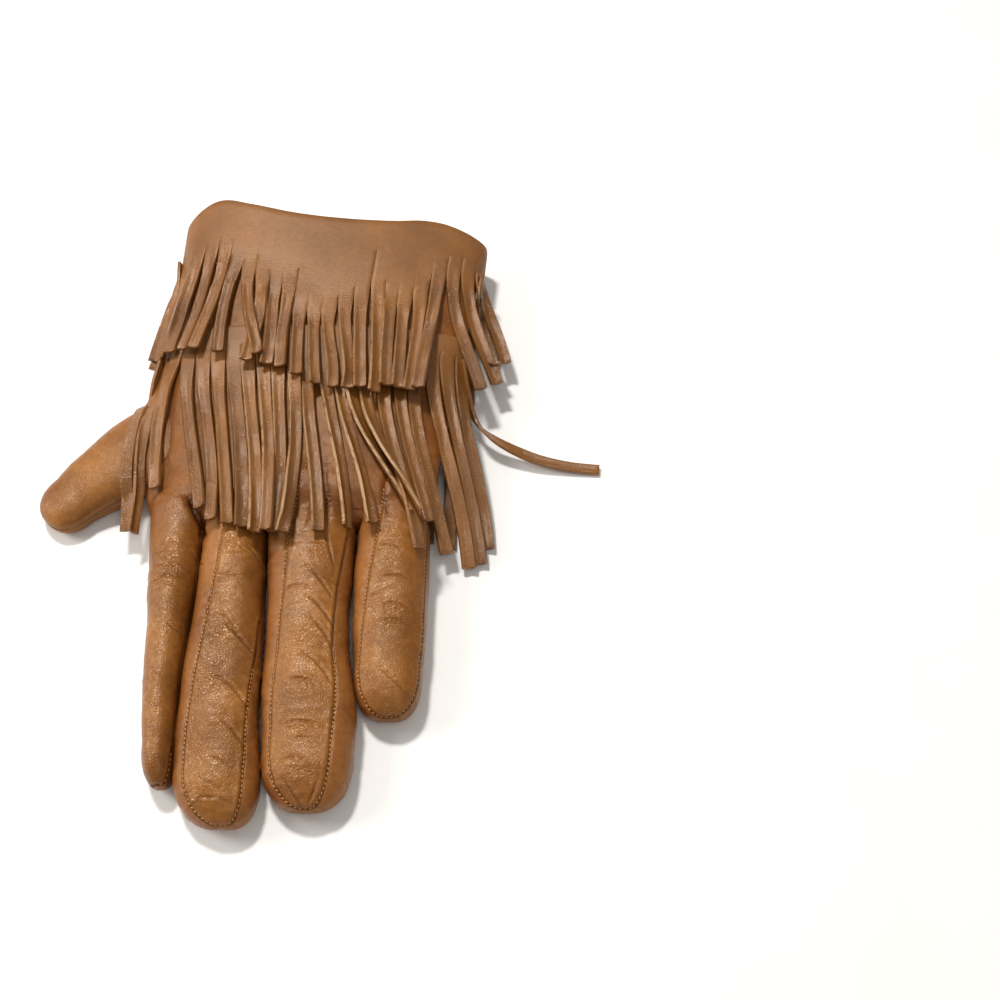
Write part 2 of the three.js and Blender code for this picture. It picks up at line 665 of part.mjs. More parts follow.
// One row of fringe: its header band with every strip fused to it
function fringeRow(header, tips, restsOn, under, stray) {
  const row = rowAt(HAND, header.start);
  const outset = HEADER_CLEAR + HEADER_THICK / 2;
  const round = wayRound(row, outset);
  const count = Math.round(round.total / STRIP_PITCH);
  const pitch = round.total / count;
  let solid = ringLoft([
    { y: header.start, outset: HEADER_CLEAR },
    { y: header.end, outset: HEADER_CLEAR },
    { y: header.end, outset: HEADER_CLEAR + HEADER_THICK },
    { y: header.start, outset: HEADER_CLEAR + HEADER_THICK },
  ]);
  for (let i = 0; i < count; i += 1) {
    const root = stripRoot(header, round.angleAt((i - 0.5) * pitch));
    let path;
    let segments = UNDER_SEGMENTS;
    if (i < tips.length) {
      path = backStripPath(root, tips[i], restsOn);
      segments = STRIP_SEGMENTS;
    } else if (stray && i === tips.length) {
      const points = [root.inside, root.below, ...stray.map(({ x, y, z }) => new THREE.Vector3(x, y, z))];
      const curve = new THREE.CatmullRomCurve3(points);
      path = (t) => ({ middle: curve.getPoint(t), across: strayAcross(root, curve, t) });
      segments = STRAY_SEGMENTS;
    } else {
      const uneven = under.wave * Math.sin(i * UNDER_BEAT);
      path = palmStripPath(root, under.tip + uneven, under.drop);
    }
    solid = solid.add(stripSolid(path, segments));
  }
  return solid;
}

// The stray strip starts on edge like its neighbours and turns flat as it comes down to the table
function strayAcross(root, curve, t) {
  const along = curve.getTangent(t);
  const flat = new THREE.Vector3(-along.y, along.x, 0).normalize();
  const turned = THREE.MathUtils.clamp((t - STRAY_TURN.from) * STRAY_TURN.rate, 0, 1);
  return root.across.clone().lerp(flat, turned).normalize();
}

// The hollow skin, parted into its panels
const pastCuff = HAND[HAND.length - 1].y;
const thumbHollow = thumbSolid(-WALL);
const skin = gloveForm(0, CUFF_END - GAP).subtract(gloveForm(-WALL, pastCuff)).subtract(thumbHollow);
const gaps = [['index', 'middle'], ['middle', 'ring'], ['ring', 'little']];
let panels = skin;
for (const [first, second] of gaps) panels = panels.subtract(fourchetteRegion(first, second, GAP));

// Lowest height of the middle of a strip of each row over a place on the table
const glovesTop = (x, y, over) => Math.max(over ? handHeight(x, y) : 0, thumbHeight(x, y) + THUMB_LIFT);
const lowerRest = (x, y, over) => glovesTop(x, y, over) + LOWER_LIFT;
const upperRest = (x, y, over) => glovesTop(x, y, over) + (y < LAP_END ? UPPER_LIFT : LOWER_LIFT);

const solids = [
  ['back_panel', panels.intersect(halfSpace(1)), COLOURS.skin],
  ['palm_panel', panels.intersect(halfSpace(-1)), COLOURS.skin],
];
for (const [first, second] of gaps) {
  const side = skin.intersect(fourchetteRegion(first, second, 0));
  solids.push([`fourchette_${first}_${second}`, side, COLOURS.side]);
}
solids.push(['thumb', thumbSolid(0).subtract(thumbHollow).subtract(gloveForm(GAP, pastCuff)), COLOURS.skin]);
solids.push(['cuff_hem', hemSolid(), COLOURS.hem]);
solids.push(['upper_fringe', fringeRow(UPPER_HEADER, UPPER_TIPS, upperRest, UNDER.upper), COLOURS.fringe]);
const lowerFringe = fringeRow(LOWER_HEADER, LOWER_TIPS, lowerRest, UNDER.lower, STRAY);
solids.push(['lower_fringe', lowerFringe, COLOURS.fringe]);

const glove = new THREE.Group();
for (const [name, solid, colour] of solids) glove.add(meshOf(name, solid, colour));

// The origin is the middle of the footprint
const box = new THREE.Box3().setFromObject(glove);
const centre = box.getCenter(new THREE.Vector3());
glove.position.set(-centre.x, -centre.y, -box.min.z);

export default glove;
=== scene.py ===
# %% [markdown]
# # A fringed leather glove
#
# The object is a left-hand dress glove of cognac nappa leather. It lies back up on a table, flat and
# soft, with two rows of leather fringe round its cuff. This lesson builds its looks in the order in
# which a glove is made: the skin first, then the seams and their stitches, then the fringe, and last the
# finishes.
#
# The CAD part is the frame: every piece here lies where a CAD solid lies, and takes its place. The frame
# comes in metres. A glove is small, so the lesson works in millimetres and turns each finished mesh into
# metres once.

import math

import bmesh
import bpy
import numpy as np
from mathutils import Matrix, Vector, noise
from mathutils.bvhtree import BVHTree
from mathutils.kdtree import KDTree


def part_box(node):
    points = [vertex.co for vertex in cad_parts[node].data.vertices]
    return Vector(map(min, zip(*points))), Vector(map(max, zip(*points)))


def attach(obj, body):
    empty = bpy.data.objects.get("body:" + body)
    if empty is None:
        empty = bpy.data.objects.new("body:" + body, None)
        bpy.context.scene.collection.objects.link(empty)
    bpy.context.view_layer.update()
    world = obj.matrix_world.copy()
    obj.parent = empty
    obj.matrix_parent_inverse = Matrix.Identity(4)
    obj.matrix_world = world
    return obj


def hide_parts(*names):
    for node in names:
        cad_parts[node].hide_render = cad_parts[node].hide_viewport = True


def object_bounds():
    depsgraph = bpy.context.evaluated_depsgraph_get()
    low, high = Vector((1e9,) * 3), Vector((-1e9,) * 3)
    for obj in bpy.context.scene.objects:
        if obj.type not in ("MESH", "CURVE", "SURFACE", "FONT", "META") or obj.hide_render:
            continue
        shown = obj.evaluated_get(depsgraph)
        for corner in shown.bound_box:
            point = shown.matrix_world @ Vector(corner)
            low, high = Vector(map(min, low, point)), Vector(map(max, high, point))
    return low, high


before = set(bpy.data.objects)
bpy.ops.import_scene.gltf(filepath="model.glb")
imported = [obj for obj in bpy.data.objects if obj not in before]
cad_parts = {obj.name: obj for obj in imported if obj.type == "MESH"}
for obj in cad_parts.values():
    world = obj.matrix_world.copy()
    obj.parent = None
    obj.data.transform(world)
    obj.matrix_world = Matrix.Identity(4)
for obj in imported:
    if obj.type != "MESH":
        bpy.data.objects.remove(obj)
cad_low, cad_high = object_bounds()
size_mm = [round(1000 * (b - a), 1) for a, b in zip(cad_low, cad_high)]
print("CAD box in mm:", size_mm)

# %% [markdown]
# ## One place for everything
#
# The glove's own drawing has its fingertips and thumb at known places. The packed part was shifted so
# that its footprint is centred. The lowest corner of the palm panel is known in both, and their
# difference is the shift.

# %% The drawing's millimetres and the frame's metres
PALM_CORNER = (-49.0, -107.8)
palm_low, palm_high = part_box("palm_panel")
SHIFT = np.array([palm_low.x * 1000 - PALM_CORNER[0], palm_low.y * 1000 - PALM_CORNER[1], 0.0])


def metres(points):
    return (np.asarray(points, float) + SHIFT) / 1000


print("shift in mm:", SHIFT.round(3))

# %% [markdown]
# ## Camera, table and light
#
# The camera comes first, because it settles how large everything is in the picture. It looks down at the
# glove from the fingertips, 54 degrees above the table, from arm's length. A perspective camera at a
# real distance gives the fingers the right foreshortening, which a flat view would lose.

# %% The camera
LOOK_AT = np.array([58.0, 0.0, 0.0])
CAMERA_DISTANCE = 420.0
CAMERA_ELEVATION = math.radians(54.0)
SENSOR = 36.0
LENS = 48.99

away = np.array([0.0, -math.cos(CAMERA_ELEVATION), math.sin(CAMERA_ELEVATION)])
camera = bpy.data.objects.new("camera", bpy.data.cameras.new("camera"))
camera.data.sensor_width = SENSOR
camera.data.lens = LENS
camera.location = metres(LOOK_AT + CAMERA_DISTANCE * away)
camera.rotation_euler = (math.pi / 2 - CAMERA_ELEVATION, 0.0, 0.0)
bpy.context.scene.collection.objects.link(camera)
bpy.context.scene.camera = camera
bpy.context.scene.view_settings.view_transform = "Standard"
print("camera at", [round(c, 3) for c in camera.location])

# %% [markdown]
# The light is that of a product table. A small panel behind and above the cuff makes the bright
# highlights on the leather and the shadows at the front. Two broad, weak panels from the left and the
# front open the shadows up, and a pale surround does the rest. Leather shows its grain best where a
# small light breaks up on it.

# %% Lights and surround
LIGHTS = [
    # name, place in metres, where it points, width, height, power
    ("panel_behind", (-0.22, 0.42, 0.86), (0.0, 0.0, 0.0), 0.15, 0.11, 7.7),
    ("panel_left", (-0.80, 0.10, 0.50), (-0.02, -0.02, 0.0), 0.4, 0.4, 5.0),
    ("panel_front", (0.30, -0.55, 0.95), (0.0, -0.03, 0.0), 0.5, 0.4, 1.8),
]
for name, place, target, width, height, power in LIGHTS:
    lamp = bpy.data.lights.new(name, "AREA")
    lamp.shape = "RECTANGLE"
    lamp.size = width
    lamp.size_y = height
    lamp.energy = power
    lamp.color = (1.0, 0.97, 0.93)
    holder = bpy.data.objects.new(name, lamp)
    holder.location = place
    facing = Vector(target) - Vector(place)
    holder.rotation_euler = facing.to_track_quat("-Z", "Y").to_euler()
    bpy.context.scene.collection.objects.link(holder)

surround = bpy.data.worlds.new("surround")
surround.use_nodes = True
surround.node_tree.nodes["Background"].inputs["Color"].default_value = (1.0, 0.975, 0.95, 1.0)
surround.node_tree.nodes["Background"].inputs["Strength"].default_value = 0.32
bpy.context.scene.world = surround
print(len(LIGHTS), "panels and a pale surround")

# %% [markdown]
# ## Helpers
#
# A glove is all soft surfaces, and most of them are grids bent to a shape. `bent_grid` starts from
# Blender's own grid, moves its vertices to where a function says, joins the edges that meet and closes
# open ends. The result is a closed skin, which is what the Boolean cuts need.

# %% A grid bent to a shape, and small mesh tools


def new_piece(name, bm):
    mesh = bpy.data.meshes.new(name)
    bm.to_mesh(mesh)
    bm.free()
    piece = bpy.data.objects.new(name, mesh)
    bpy.context.scene.collection.objects.link(piece)
    return piece


def bent_grid(name, across, along, place):
    """place turns two arrays, 0 to 1 across and 0 to 1 along, into points in mm."""
    bm = bmesh.new()
    bmesh.ops.create_grid(bm, x_segments=across, y_segments=along, size=1.0)
    flat = np.array([v.co[:2] for v in bm.verts])
    u = np.round(flat[:, 0] / 2 + 0.5, 6) % 1.0
    v = np.round(flat[:, 1] / 2 + 0.5, 6)
    for vertex, point in zip(bm.verts, place(u, v)):
        vertex.co = point
    bmesh.ops.remove_doubles(bm, verts=bm.verts, dist=1e-3)
    bmesh.ops.holes_fill(bm, edges=[e for e in bm.edges if e.is_boundary], sides=0)
    bmesh.ops.recalc_face_normals(bm, faces=bm.faces)
    return new_piece(name, bm)


def settle(piece):
    """Turns a piece and its modifiers into a plain mesh."""
    bpy.context.view_layer.update()
    graph = bpy.context.evaluated_depsgraph_get()
    mesh = bpy.data.meshes.new_from_object(piece.evaluated_get(graph))
    piece.modifiers.clear()
    piece.data = mesh
    return piece


def modify(piece, kind, **settings):
    modifier = piece.modifiers.new(kind.lower(), kind)
    for key, value in settings.items():
        setattr(modifier, key, value)


def combine(piece, other, operation, keep=False):
    """Joins or cuts with a Boolean modifier. The other piece goes, unless it is kept."""
    modify(piece, "BOOLEAN", operation=operation, solver="MANIFOLD", object=other)
    settle(piece)
    if not keep:
        bpy.data.objects.remove(other)
    return piece


def copy_of(piece, name):
    double = bpy.data.objects.new(name, piece.data.copy())
    bpy.context.scene.collection.objects.link(double)
    return double


def points_of(mesh):
    points = np.zeros(len(mesh.vertices) * 3, np.float32)
    mesh.vertices.foreach_get("co", points)
    return points.reshape(-1, 3).astype(float)


def move_points(mesh, points):
    mesh.vertices.foreach_set("co", np.asarray(points, np.float32).ravel())
    mesh.update()


def ease(t):
    """A share that starts and ends softly: 0 below 0, 1 above 1."""
    t = np.clip(t, 0.0, 1.0)
    return t * t * (3 - 2 * t)


def bell(distance, width):
    """1 at no distance, falling softly to nothing past the width."""
    return np.exp(-((distance / width) ** 2))


def unit(vectors):
    return vectors / np.linalg.norm(vectors, axis=-1, keepdims=True)


def way_along(line):
    """How far each point of a line is from its start, along the line."""
    return np.concatenate([[0], np.cumsum(np.linalg.norm(np.diff(line, axis=0), axis=1))])


print("tools: a bent grid, Boolean cuts, soft steps and lengths along lines")

# %% [markdown]
# ## The glove's measures
#
# Each finger is a row of soft ovals from the hand to where its tip begins to round. The columns are the
# place along the glove, the two edges, the underside and the top. A smooth curve through the rows keeps
# the leather free of kinks.

# %% The tables of the hand, the fingers and the thumb
HAND = [
    # y, left, right, low, high, lean
    (-15.0, -43.0, 35.0, 4.5, 12.0, 0.0),
    (-11.0, -46.6, 37.6, 1.6, 15.6, 0.0),
    (4.0, -48.4, 39.2, 1.6, 17.0, 0.0),
    (20.0, -49.2, 41.2, 1.6, 17.4, 0.0),
    (29.0, -49.0, 42.4, 3.1, 17.8, 0.3),
    (88.0, -48.8, 51.0, 3.1, 21.0, 3.0),
    (108.0, -49.0, 52.6, 3.1, 22.6, 4.2),
]
RIM_SWEEP = [
    # side of the cuff, from the thumb at -1, and how far the rim sweeps back there
    (-1.0, 1.4),
    (-0.78, 7.0),
    (-0.55, 3.4),
    (-0.3, -0.6),
    (0.1, -2.9),
    (0.4, -2.1),
    (0.6, -0.3),
    (0.72, -0.5),
    (0.86, -2.6),
    (1.0, -5.8),
]
SWEEP_START = 60.0
CUFF_END = 101.7
FINGERS = {
    # rows of y, left, right, low, high, then the place of the tip
    "index": (
        [
            (4.0, -43.0, -31.0, 4.0, 12.0),
            (-9.0, -46.3, -30.2, 1.5, 15.2),
            (-19.0, -45.6, -29.9, 1.5, 15.0),
            (-32.0, -43.9, -29.6, 0.0, 14.8),
            (-54.0, -41.6, -29.9, 0.0, 14.0),
            (-72.0, -39.8, -29.9, 0.0, 13.2),
            (-86.0, -37.8, -29.0, 0.0, 12.2),
        ],
        (-31.6, -97.6),
    ),
    "middle": (
        [
            (4.0, -26.0, -13.0, 4.0, 13.0),
            (-19.0, -29.3, -11.2, 1.5, 15.6),
            (-32.0, -29.3, -10.1, 0.0, 15.2),
            (-54.0, -29.7, -8.6, 0.0, 14.2),
            (-78.0, -29.6, -7.6, 0.0, 13.4),
            (-93.0, -28.6, -5.4, 0.0, 12.4),
        ],
        (-14.0, -109.2),
    ),
    "ring": (
        [
            (4.0, -7.5, 12.0, 4.0, 13.0),
            (-19.0, -10.6, 15.3, 1.5, 15.4),
            (-32.0, -9.5, 15.0, 0.0, 15.0),
            (-54.0, -8.0, 15.4, 0.0, 14.2),
            (-74.0, -7.2, 18.6, 0.0, 13.4),
            (-87.0, -6.0, 19.0, 0.0, 12.4),
        ],
        (7.8, -104.4),
    ),
    "little": (
        [
            (4.0, 19.0, 34.0, 4.0, 12.0),
            (-19.0, 16.1, 37.3, 1.5, 14.6),
            (-32.0, 15.7, 37.4, 0.0, 14.2),
            (-46.0, 16.0, 37.2, 0.0, 13.6),
            (-62.0, 17.2, 36.6, 0.0, 12.6),
        ],
        (27.4, -78.2),
    ),
}
THUMB = [
    # x, y, width, low, high, share of the height where it is widest
    (-36.0, 19.0, 24.0, 4.0, 12.0, 0.5),
    (-47.0, 15.0, 30.4, 1.8, 14.0, 0.55),
    (-54.0, 11.2, 27.4, 1.4, 13.6, 0.56),
    (-60.8, 6.3, 23.9, 0.4, 12.6, 0.54),
    (-66.8, 1.5, 20.9, 0.0, 11.2, 0.48),
    (-71.4, -2.9, 18.2, 0.0, 9.8, 0.44),
]
THUMB_TIP = (-78.7, -11.4)
DOME_POWER, SOLE_POWER = 2.3, 3.6
SOLE_FLAT = 1.09
WAIST = 0.42
WALL = 1.3


def along_table(rows, at):
    """The other columns of a table at the places `at` of its first, on a smooth curve through its rows."""
    rows = np.array(sorted(rows), float)
    x, y = rows[:, 0], rows[:, 1:]
    step = np.diff(x)[:, None]
    slope = np.diff(y, axis=0) / step
    inner = (slope[:-1] * step[1:] + slope[1:] * step[:-1]) / (step[:-1] + step[1:])
    tangent = np.vstack([slope[:1], inner, slope[-1:]])
    at = np.clip(np.asarray(at, float), x[0], x[-1])
    i = np.clip(np.searchsorted(x, at, side="right") - 1, 0, len(step) - 1)
    t = ((at - x[i]) / step[i, 0])[:, None]
    first, last = tangent[i] * step[i], tangent[i + 1] * step[i]
    rise = t * t * (3 - 2 * t)
    curve = y[i] * (1 - rise) + y[i + 1] * rise + first * t * (1 - t) ** 2 - last * t * t * (1 - t)
    return curve.T


def oval(left, right, low, high, turn, waist=WAIST, lean=0.0):
    """Points of a soft oval, domed above and flat below. Gives x, z and the share of the way out."""
    c, s = np.cos(turn), np.sin(turn)
    power = np.where(s > 0, DOME_POWER, SOLE_POWER)
    side = np.sign(c) * np.abs(c) ** (2 / power)
    share = np.abs(s) ** (2 / power)
    middle = low + (high - low) * waist
    top = middle + (high - middle - lean * side) * share
    sole = middle - (middle - low) * np.minimum(share * SOLE_FLAT, 1)
    return (left + right) / 2 + (right - left) / 2 * side, np.where(s > 0, top, sole), side


print(len(FINGERS), "fingers,", len(HAND), "rows of the hand")

# %% [markdown]
# ## The skin
#
# The hand, the fingers and the thumb are lofts: one grid each, wrapped round its ovals. A tip is rounded
# by shrinking the last oval along a quarter turn. The grids are fine, with squares of about 0.8 mm on
# the fingers and 1.2 to 1.4 mm on the hand, because creases and seams are pressed into them later.

# %% Surfaces of the hand, a finger and the thumb
# The last ring of the hand's grid is drawn in by this much, so that its cap closes inside the rolled rim
INNER_RIM = -1.9


def hand_point(y, turn, outset):
    left, right, low, high, lean = along_table(HAND, y)
    x, z, side = oval(left - outset, right + outset, low - outset, high + outset, turn, lean=lean)
    sweep = along_table(RIM_SWEEP, side)[0] * np.clip((y - SWEEP_START) / (CUFF_END - SWEEP_START), 0, 1)
    return np.stack([x, y + sweep, z], -1)


def hand_form(name, outset, start, end, across, along):
    def place(u, v):
        rows = np.minimum(v * along / (along - 1), 1.0)
        y = start + (end - start) * rows
        inward = np.where(v > 1 - 0.5 / along, outset + INNER_RIM, outset)
        return hand_point(y, u * 2 * math.pi, inward)

    return bent_grid(name, across, along, place)


FINGER_BODY, THUMB_BODY = 0.86, 0.8
TIP_POWER = 2.4


def tip_curve(quarter):
    """How far a tip has run out, and what is left of its width, at an angle of its quarter turn."""
    return np.sin(quarter) ** (2 / TIP_POWER), np.maximum(np.cos(quarter), 0) ** (2 / TIP_POWER)


def closing(v, body):
    """The same, where the tip begins once v has passed the share that the body takes."""
    return tip_curve(np.clip((v - body) / (1 - body), 0, 1) * math.pi / 2)


def finger_point(rows, tip, u, v, outset):
    first, last = rows[0], rows[-1]
    y = first[0] + (last[0] - first[0]) * np.minimum(v / FINGER_BODY, 1.0)
    left, right, low, high = along_table(rows, y)
    left, right, low, high = left - outset, right + outset, low - outset, high + outset
    turn, size = closing(v, FINGER_BODY)
    middle, waist = (left + right) / 2, low + (high - low) * WAIST
    half = (right - left) / 2 * size
    shifted = middle + (tip[0] - (last[1] + last[2]) / 2) * turn**2
    low, high = waist + (low - waist) * size, waist + (high - waist) * size
    x, z, side = oval(shifted - half, shifted + half, low, high, u * 2 * math.pi)
    return np.stack([x, y + (tip[1] - outset - last[0]) * turn, z], -1)


def thumb_point(u, v, outset):
    way = way_along([row[:2] for row in THUMB])
    table = [(d, *row) for d, row in zip(way, THUMB)]
    at = way[-1] * np.minimum(v / THUMB_BODY, 1.0)
    x, y, width, low, high, waist_share = along_table(table, at)
    ahead, behind = along_table(table, at + 0.5), along_table(table, at - 0.5)
    dx, dy = unit((ahead[:2] - behind[:2]).T).T
    turn, size = closing(v, THUMB_BODY)
    low, high, half = low - outset, high + outset, width / 2 + outset
    waist = low + (high - low) * waist_share
    low, high, half = waist + (low - waist) * size, waist + (high - waist) * size, half * size
    flat, z, side = oval(-half, half, low, high, u * 2 * math.pi, waist=waist_share)
    reach_x = THUMB_TIP[0] - THUMB[-1][0] + outset * dx
    reach_y = THUMB_TIP[1] - THUMB[-1][1] + outset * dy
    return np.stack([x + reach_x * turn - flat * dy, y + reach_y * turn + flat * dx, z], -1)


print("the body takes", FINGER_BODY, "of a finger's grid and", THUMB_BODY, "of the thumb's")

# %% The outer skin in one piece, and what is hollow in it


def whole_glove(name, outset, cuff_end, fineness):
    across, along, finger_across, finger_along = fineness
    form = hand_form(name, outset, HAND[0][0], cuff_end, across, along)
    for finger, (rows, tip) in FINGERS.items():
        place = lambda u, v: finger_point(rows, tip, u, v, outset)
        combine(form, bent_grid(finger, finger_across, finger_along, place), "UNION")
    return form


def thumb_form(name, outset, across, along):
    return bent_grid(name, across, along, lambda u, v: thumb_point(u, v, outset))


# The hollow, and the room that the thumb leaves for the hand, run a little past the end of the cuff
PAST_CUFF = 107.9
THUMB_ROOM = 0.3
# Squares round and along the hand, then round and along a finger
FINE, COARSE = (150, 100, 72, 140), (64, 24, 28, 36)
outer = whole_glove("outer", 0.0, CUFF_END, FINE)
inner = whole_glove("inner", -WALL, PAST_CUFF, COARSE)
around = whole_glove("around", THUMB_ROOM, PAST_CUFF, COARSE)
thumb_outer = thumb_form("thumb_outer", 0.0, 72, 80)
thumb_inner = thumb_form("thumb_inner", -WALL, 28, 24)
print("outer skin:", len(outer.data.polygons), "faces")

# %% [markdown]
# ## Where the seams run
#
# On the back of each finger the panel is stitched to the narrow side strips between the fingers. The
# seam runs up one edge of the panel, round just above the fingertip, and down the other. It follows the
# finger's own outline, a few millimetres inside it. The line is drawn flat first, then dropped onto the
# skin by rays, so it lies exactly on the leather. Some seams run over the finger's far side or are lost
# in a fold, so a table says from where each side's groove is pressed in, and from where its stitches are
# sewn.

# %% Seam lines
SEAM_INSETS = {
    # how far inside the outline: at the knuckle, near the tip, and how late it changes, on the thumb side,
    # then the same on the other side, then at the tip
    "index": ((-4.0, -4.0, 1.0), (0.35, 0.35, 1.0), 0.25),
    "middle": ((7.0, 3.4, 1.0), (0.35, 3.6, 2.3), 0.25),
    "ring": ((8.0, 2.7, 0.6), (1.6, 5.7, 1.0), 0.25),
    "little": ((6.4, 1.6, 1.2), (0.9, 0.8, 1.0), 0.25),
}
SEAM_SHOWN = {
    # where the groove begins on the thumb side and on the other side, then the same for its stitches
    "index": ((-88.0, -88.0), (-88.0, -88.0)),
    "middle": ((4.0, -50.0), (3.0, -64.0)),
    "ring": ((4.0, 4.0), (3.0, -62.0)),
    "little": ((4.0, 4.0), (3.0, -6.0)),
}
SEAM_START, CUT_START = 4.0, -5.0
KNUCKLE = -20.0
SEAM_STEPS, TIP_STEPS = 60, 24


def seam_outline(finger, grown=0.0, start=CUT_START):
    rows, tip = FINGERS[finger]
    *sides, tip_in = SEAM_INSETS[finger]
    last = rows[-1]
    y = np.linspace(start, last[0], SEAM_STEPS)
    share = np.clip((KNUCKLE - y) / (KNUCKLE - last[0]), 0, 1)
    left_in, right_in = (a + (b - a) * share**power - grown for a, b, power in sides)
    tip_in -= grown
    left, right, low, high = along_table(rows, y)
    turn, size = tip_curve(np.linspace(0, math.pi / 2, TIP_STEPS)[1:])
    middle, half = (last[1] + last[2]) / 2, (last[2] - last[1]) / 2
    shifted = middle + (tip[0] - middle) * turn**2
    tip_y = last[0] + (tip[1] + tip_in - last[0]) * turn
    left_side = [*zip(left + left_in, y), *zip(shifted - (half - left_in[-1]) * size, tip_y)]
    right_side = [*zip(right - right_in, y), *zip(shifted + (half - right_in[-1]) * size, tip_y)]
    return np.array(left_side + right_side[-2::-1])


def shown(line, limits):
    """Which places of a line lie beyond their side's limit. The line goes down the thumb side first."""
    return line[:, 1] < np.where(np.gradient(line[:, 1]) > 0, limits[1], limits[0])


def spaced(line, pitch):
    """The same line with its points at an even pitch."""
    line = np.asarray(line, float)
    way = way_along(line)
    count = max(int(way[-1] / pitch), 1)
    at = np.linspace(0, way[-1], count + 1)
    return np.stack([np.interp(at, way, column) for column in line.T], -1)


def tree_of(piece):
    mesh = piece.data
    return BVHTree.FromPolygons([v.co for v in mesh.vertices], [p.vertices for p in mesh.polygons])


DOWN, RAY_START = Vector((0, 0, -1)), 80.0
# A line keeps to leather that faces up at least this much, and stitches need a little more
FACES_UP, SEWN_FACES_UP = 0.12, 0.2


def dropped(line, tree):
    """Drops a flat line onto a skin. Gives the points that land and the skin's direction there."""
    points, normals = [], []
    for x, y in line:
        place, normal, face, distance = tree.ray_cast(Vector((x, y, RAY_START)), DOWN)
        if place is not None and normal.z > FACES_UP:
            points.append(place)
            normals.append(normal)
    return np.array(points), np.array(normals)


SEAM_PITCH = 0.35
THUMB_SEAM = (0.36, 0.985, 90)

outer_tree = tree_of(outer)
seam_lines = {}
for finger in FINGERS:
    line = spaced(seam_outline(finger, start=SEAM_START), SEAM_PITCH)
    seam_lines[finger] = dropped(line[shown(line, SEAM_SHOWN[finger][0])], outer_tree)
    print(finger, "seam:", len(seam_lines[finger][0]), "places")
thumb_ways = np.linspace(*THUMB_SEAM)
thumb_seam = thumb_point(np.zeros(len(thumb_ways)), thumb_ways, 0.0)

# %% [markdown]
# ## Creases
#
# Worn leather folds where fingers bend: short creases across the knuckles, slanting ones towards the
# tips, and a few deep folds where the fingers leave the hand. A crease is a soft valley with a slight
# swelling beside it, which is what makes it read as folded leather and not as a scratch. Patches of fine
# wrinkles gather between the creases; the finish shows those later.
#
# The creases and most patches were picked in the photo, as pixels. A photo is flat, so a pixel
# alone doesn't say where it is. Each row gives the height of the leather there too, and the camera's own
# geometry then finds the place. The deep folds, half hidden by the fringe, are drawn in millimetres.

# %% From a pixel to a place on the glove
# The photo's width and the camera's focal length in its pixels
PHOTO_WIDTH, FOCAL = 1000, 1360.8


def seen_place(pixel, height):
    """The x and y in mm that a pixel of the photo shows, on a level this high above the table."""
    up = np.array([0.0, math.sin(CAMERA_ELEVATION), math.cos(CAMERA_ELEVATION)])
    right = np.array([1.0, 0.0, 0.0])
    across, down = (part - PHOTO_WIDTH / 2 for part in pixel)
    ray = right * across / FOCAL - up * down / FOCAL - away
    eye = LOOK_AT + CAMERA_DISTANCE * away
    x, y, z = eye + ray * (height - eye[2]) / ray[2]
    return round(float(x), 1), round(float(y), 1)


print("the middle of the photo shows", seen_place((500, 500), 0.0))

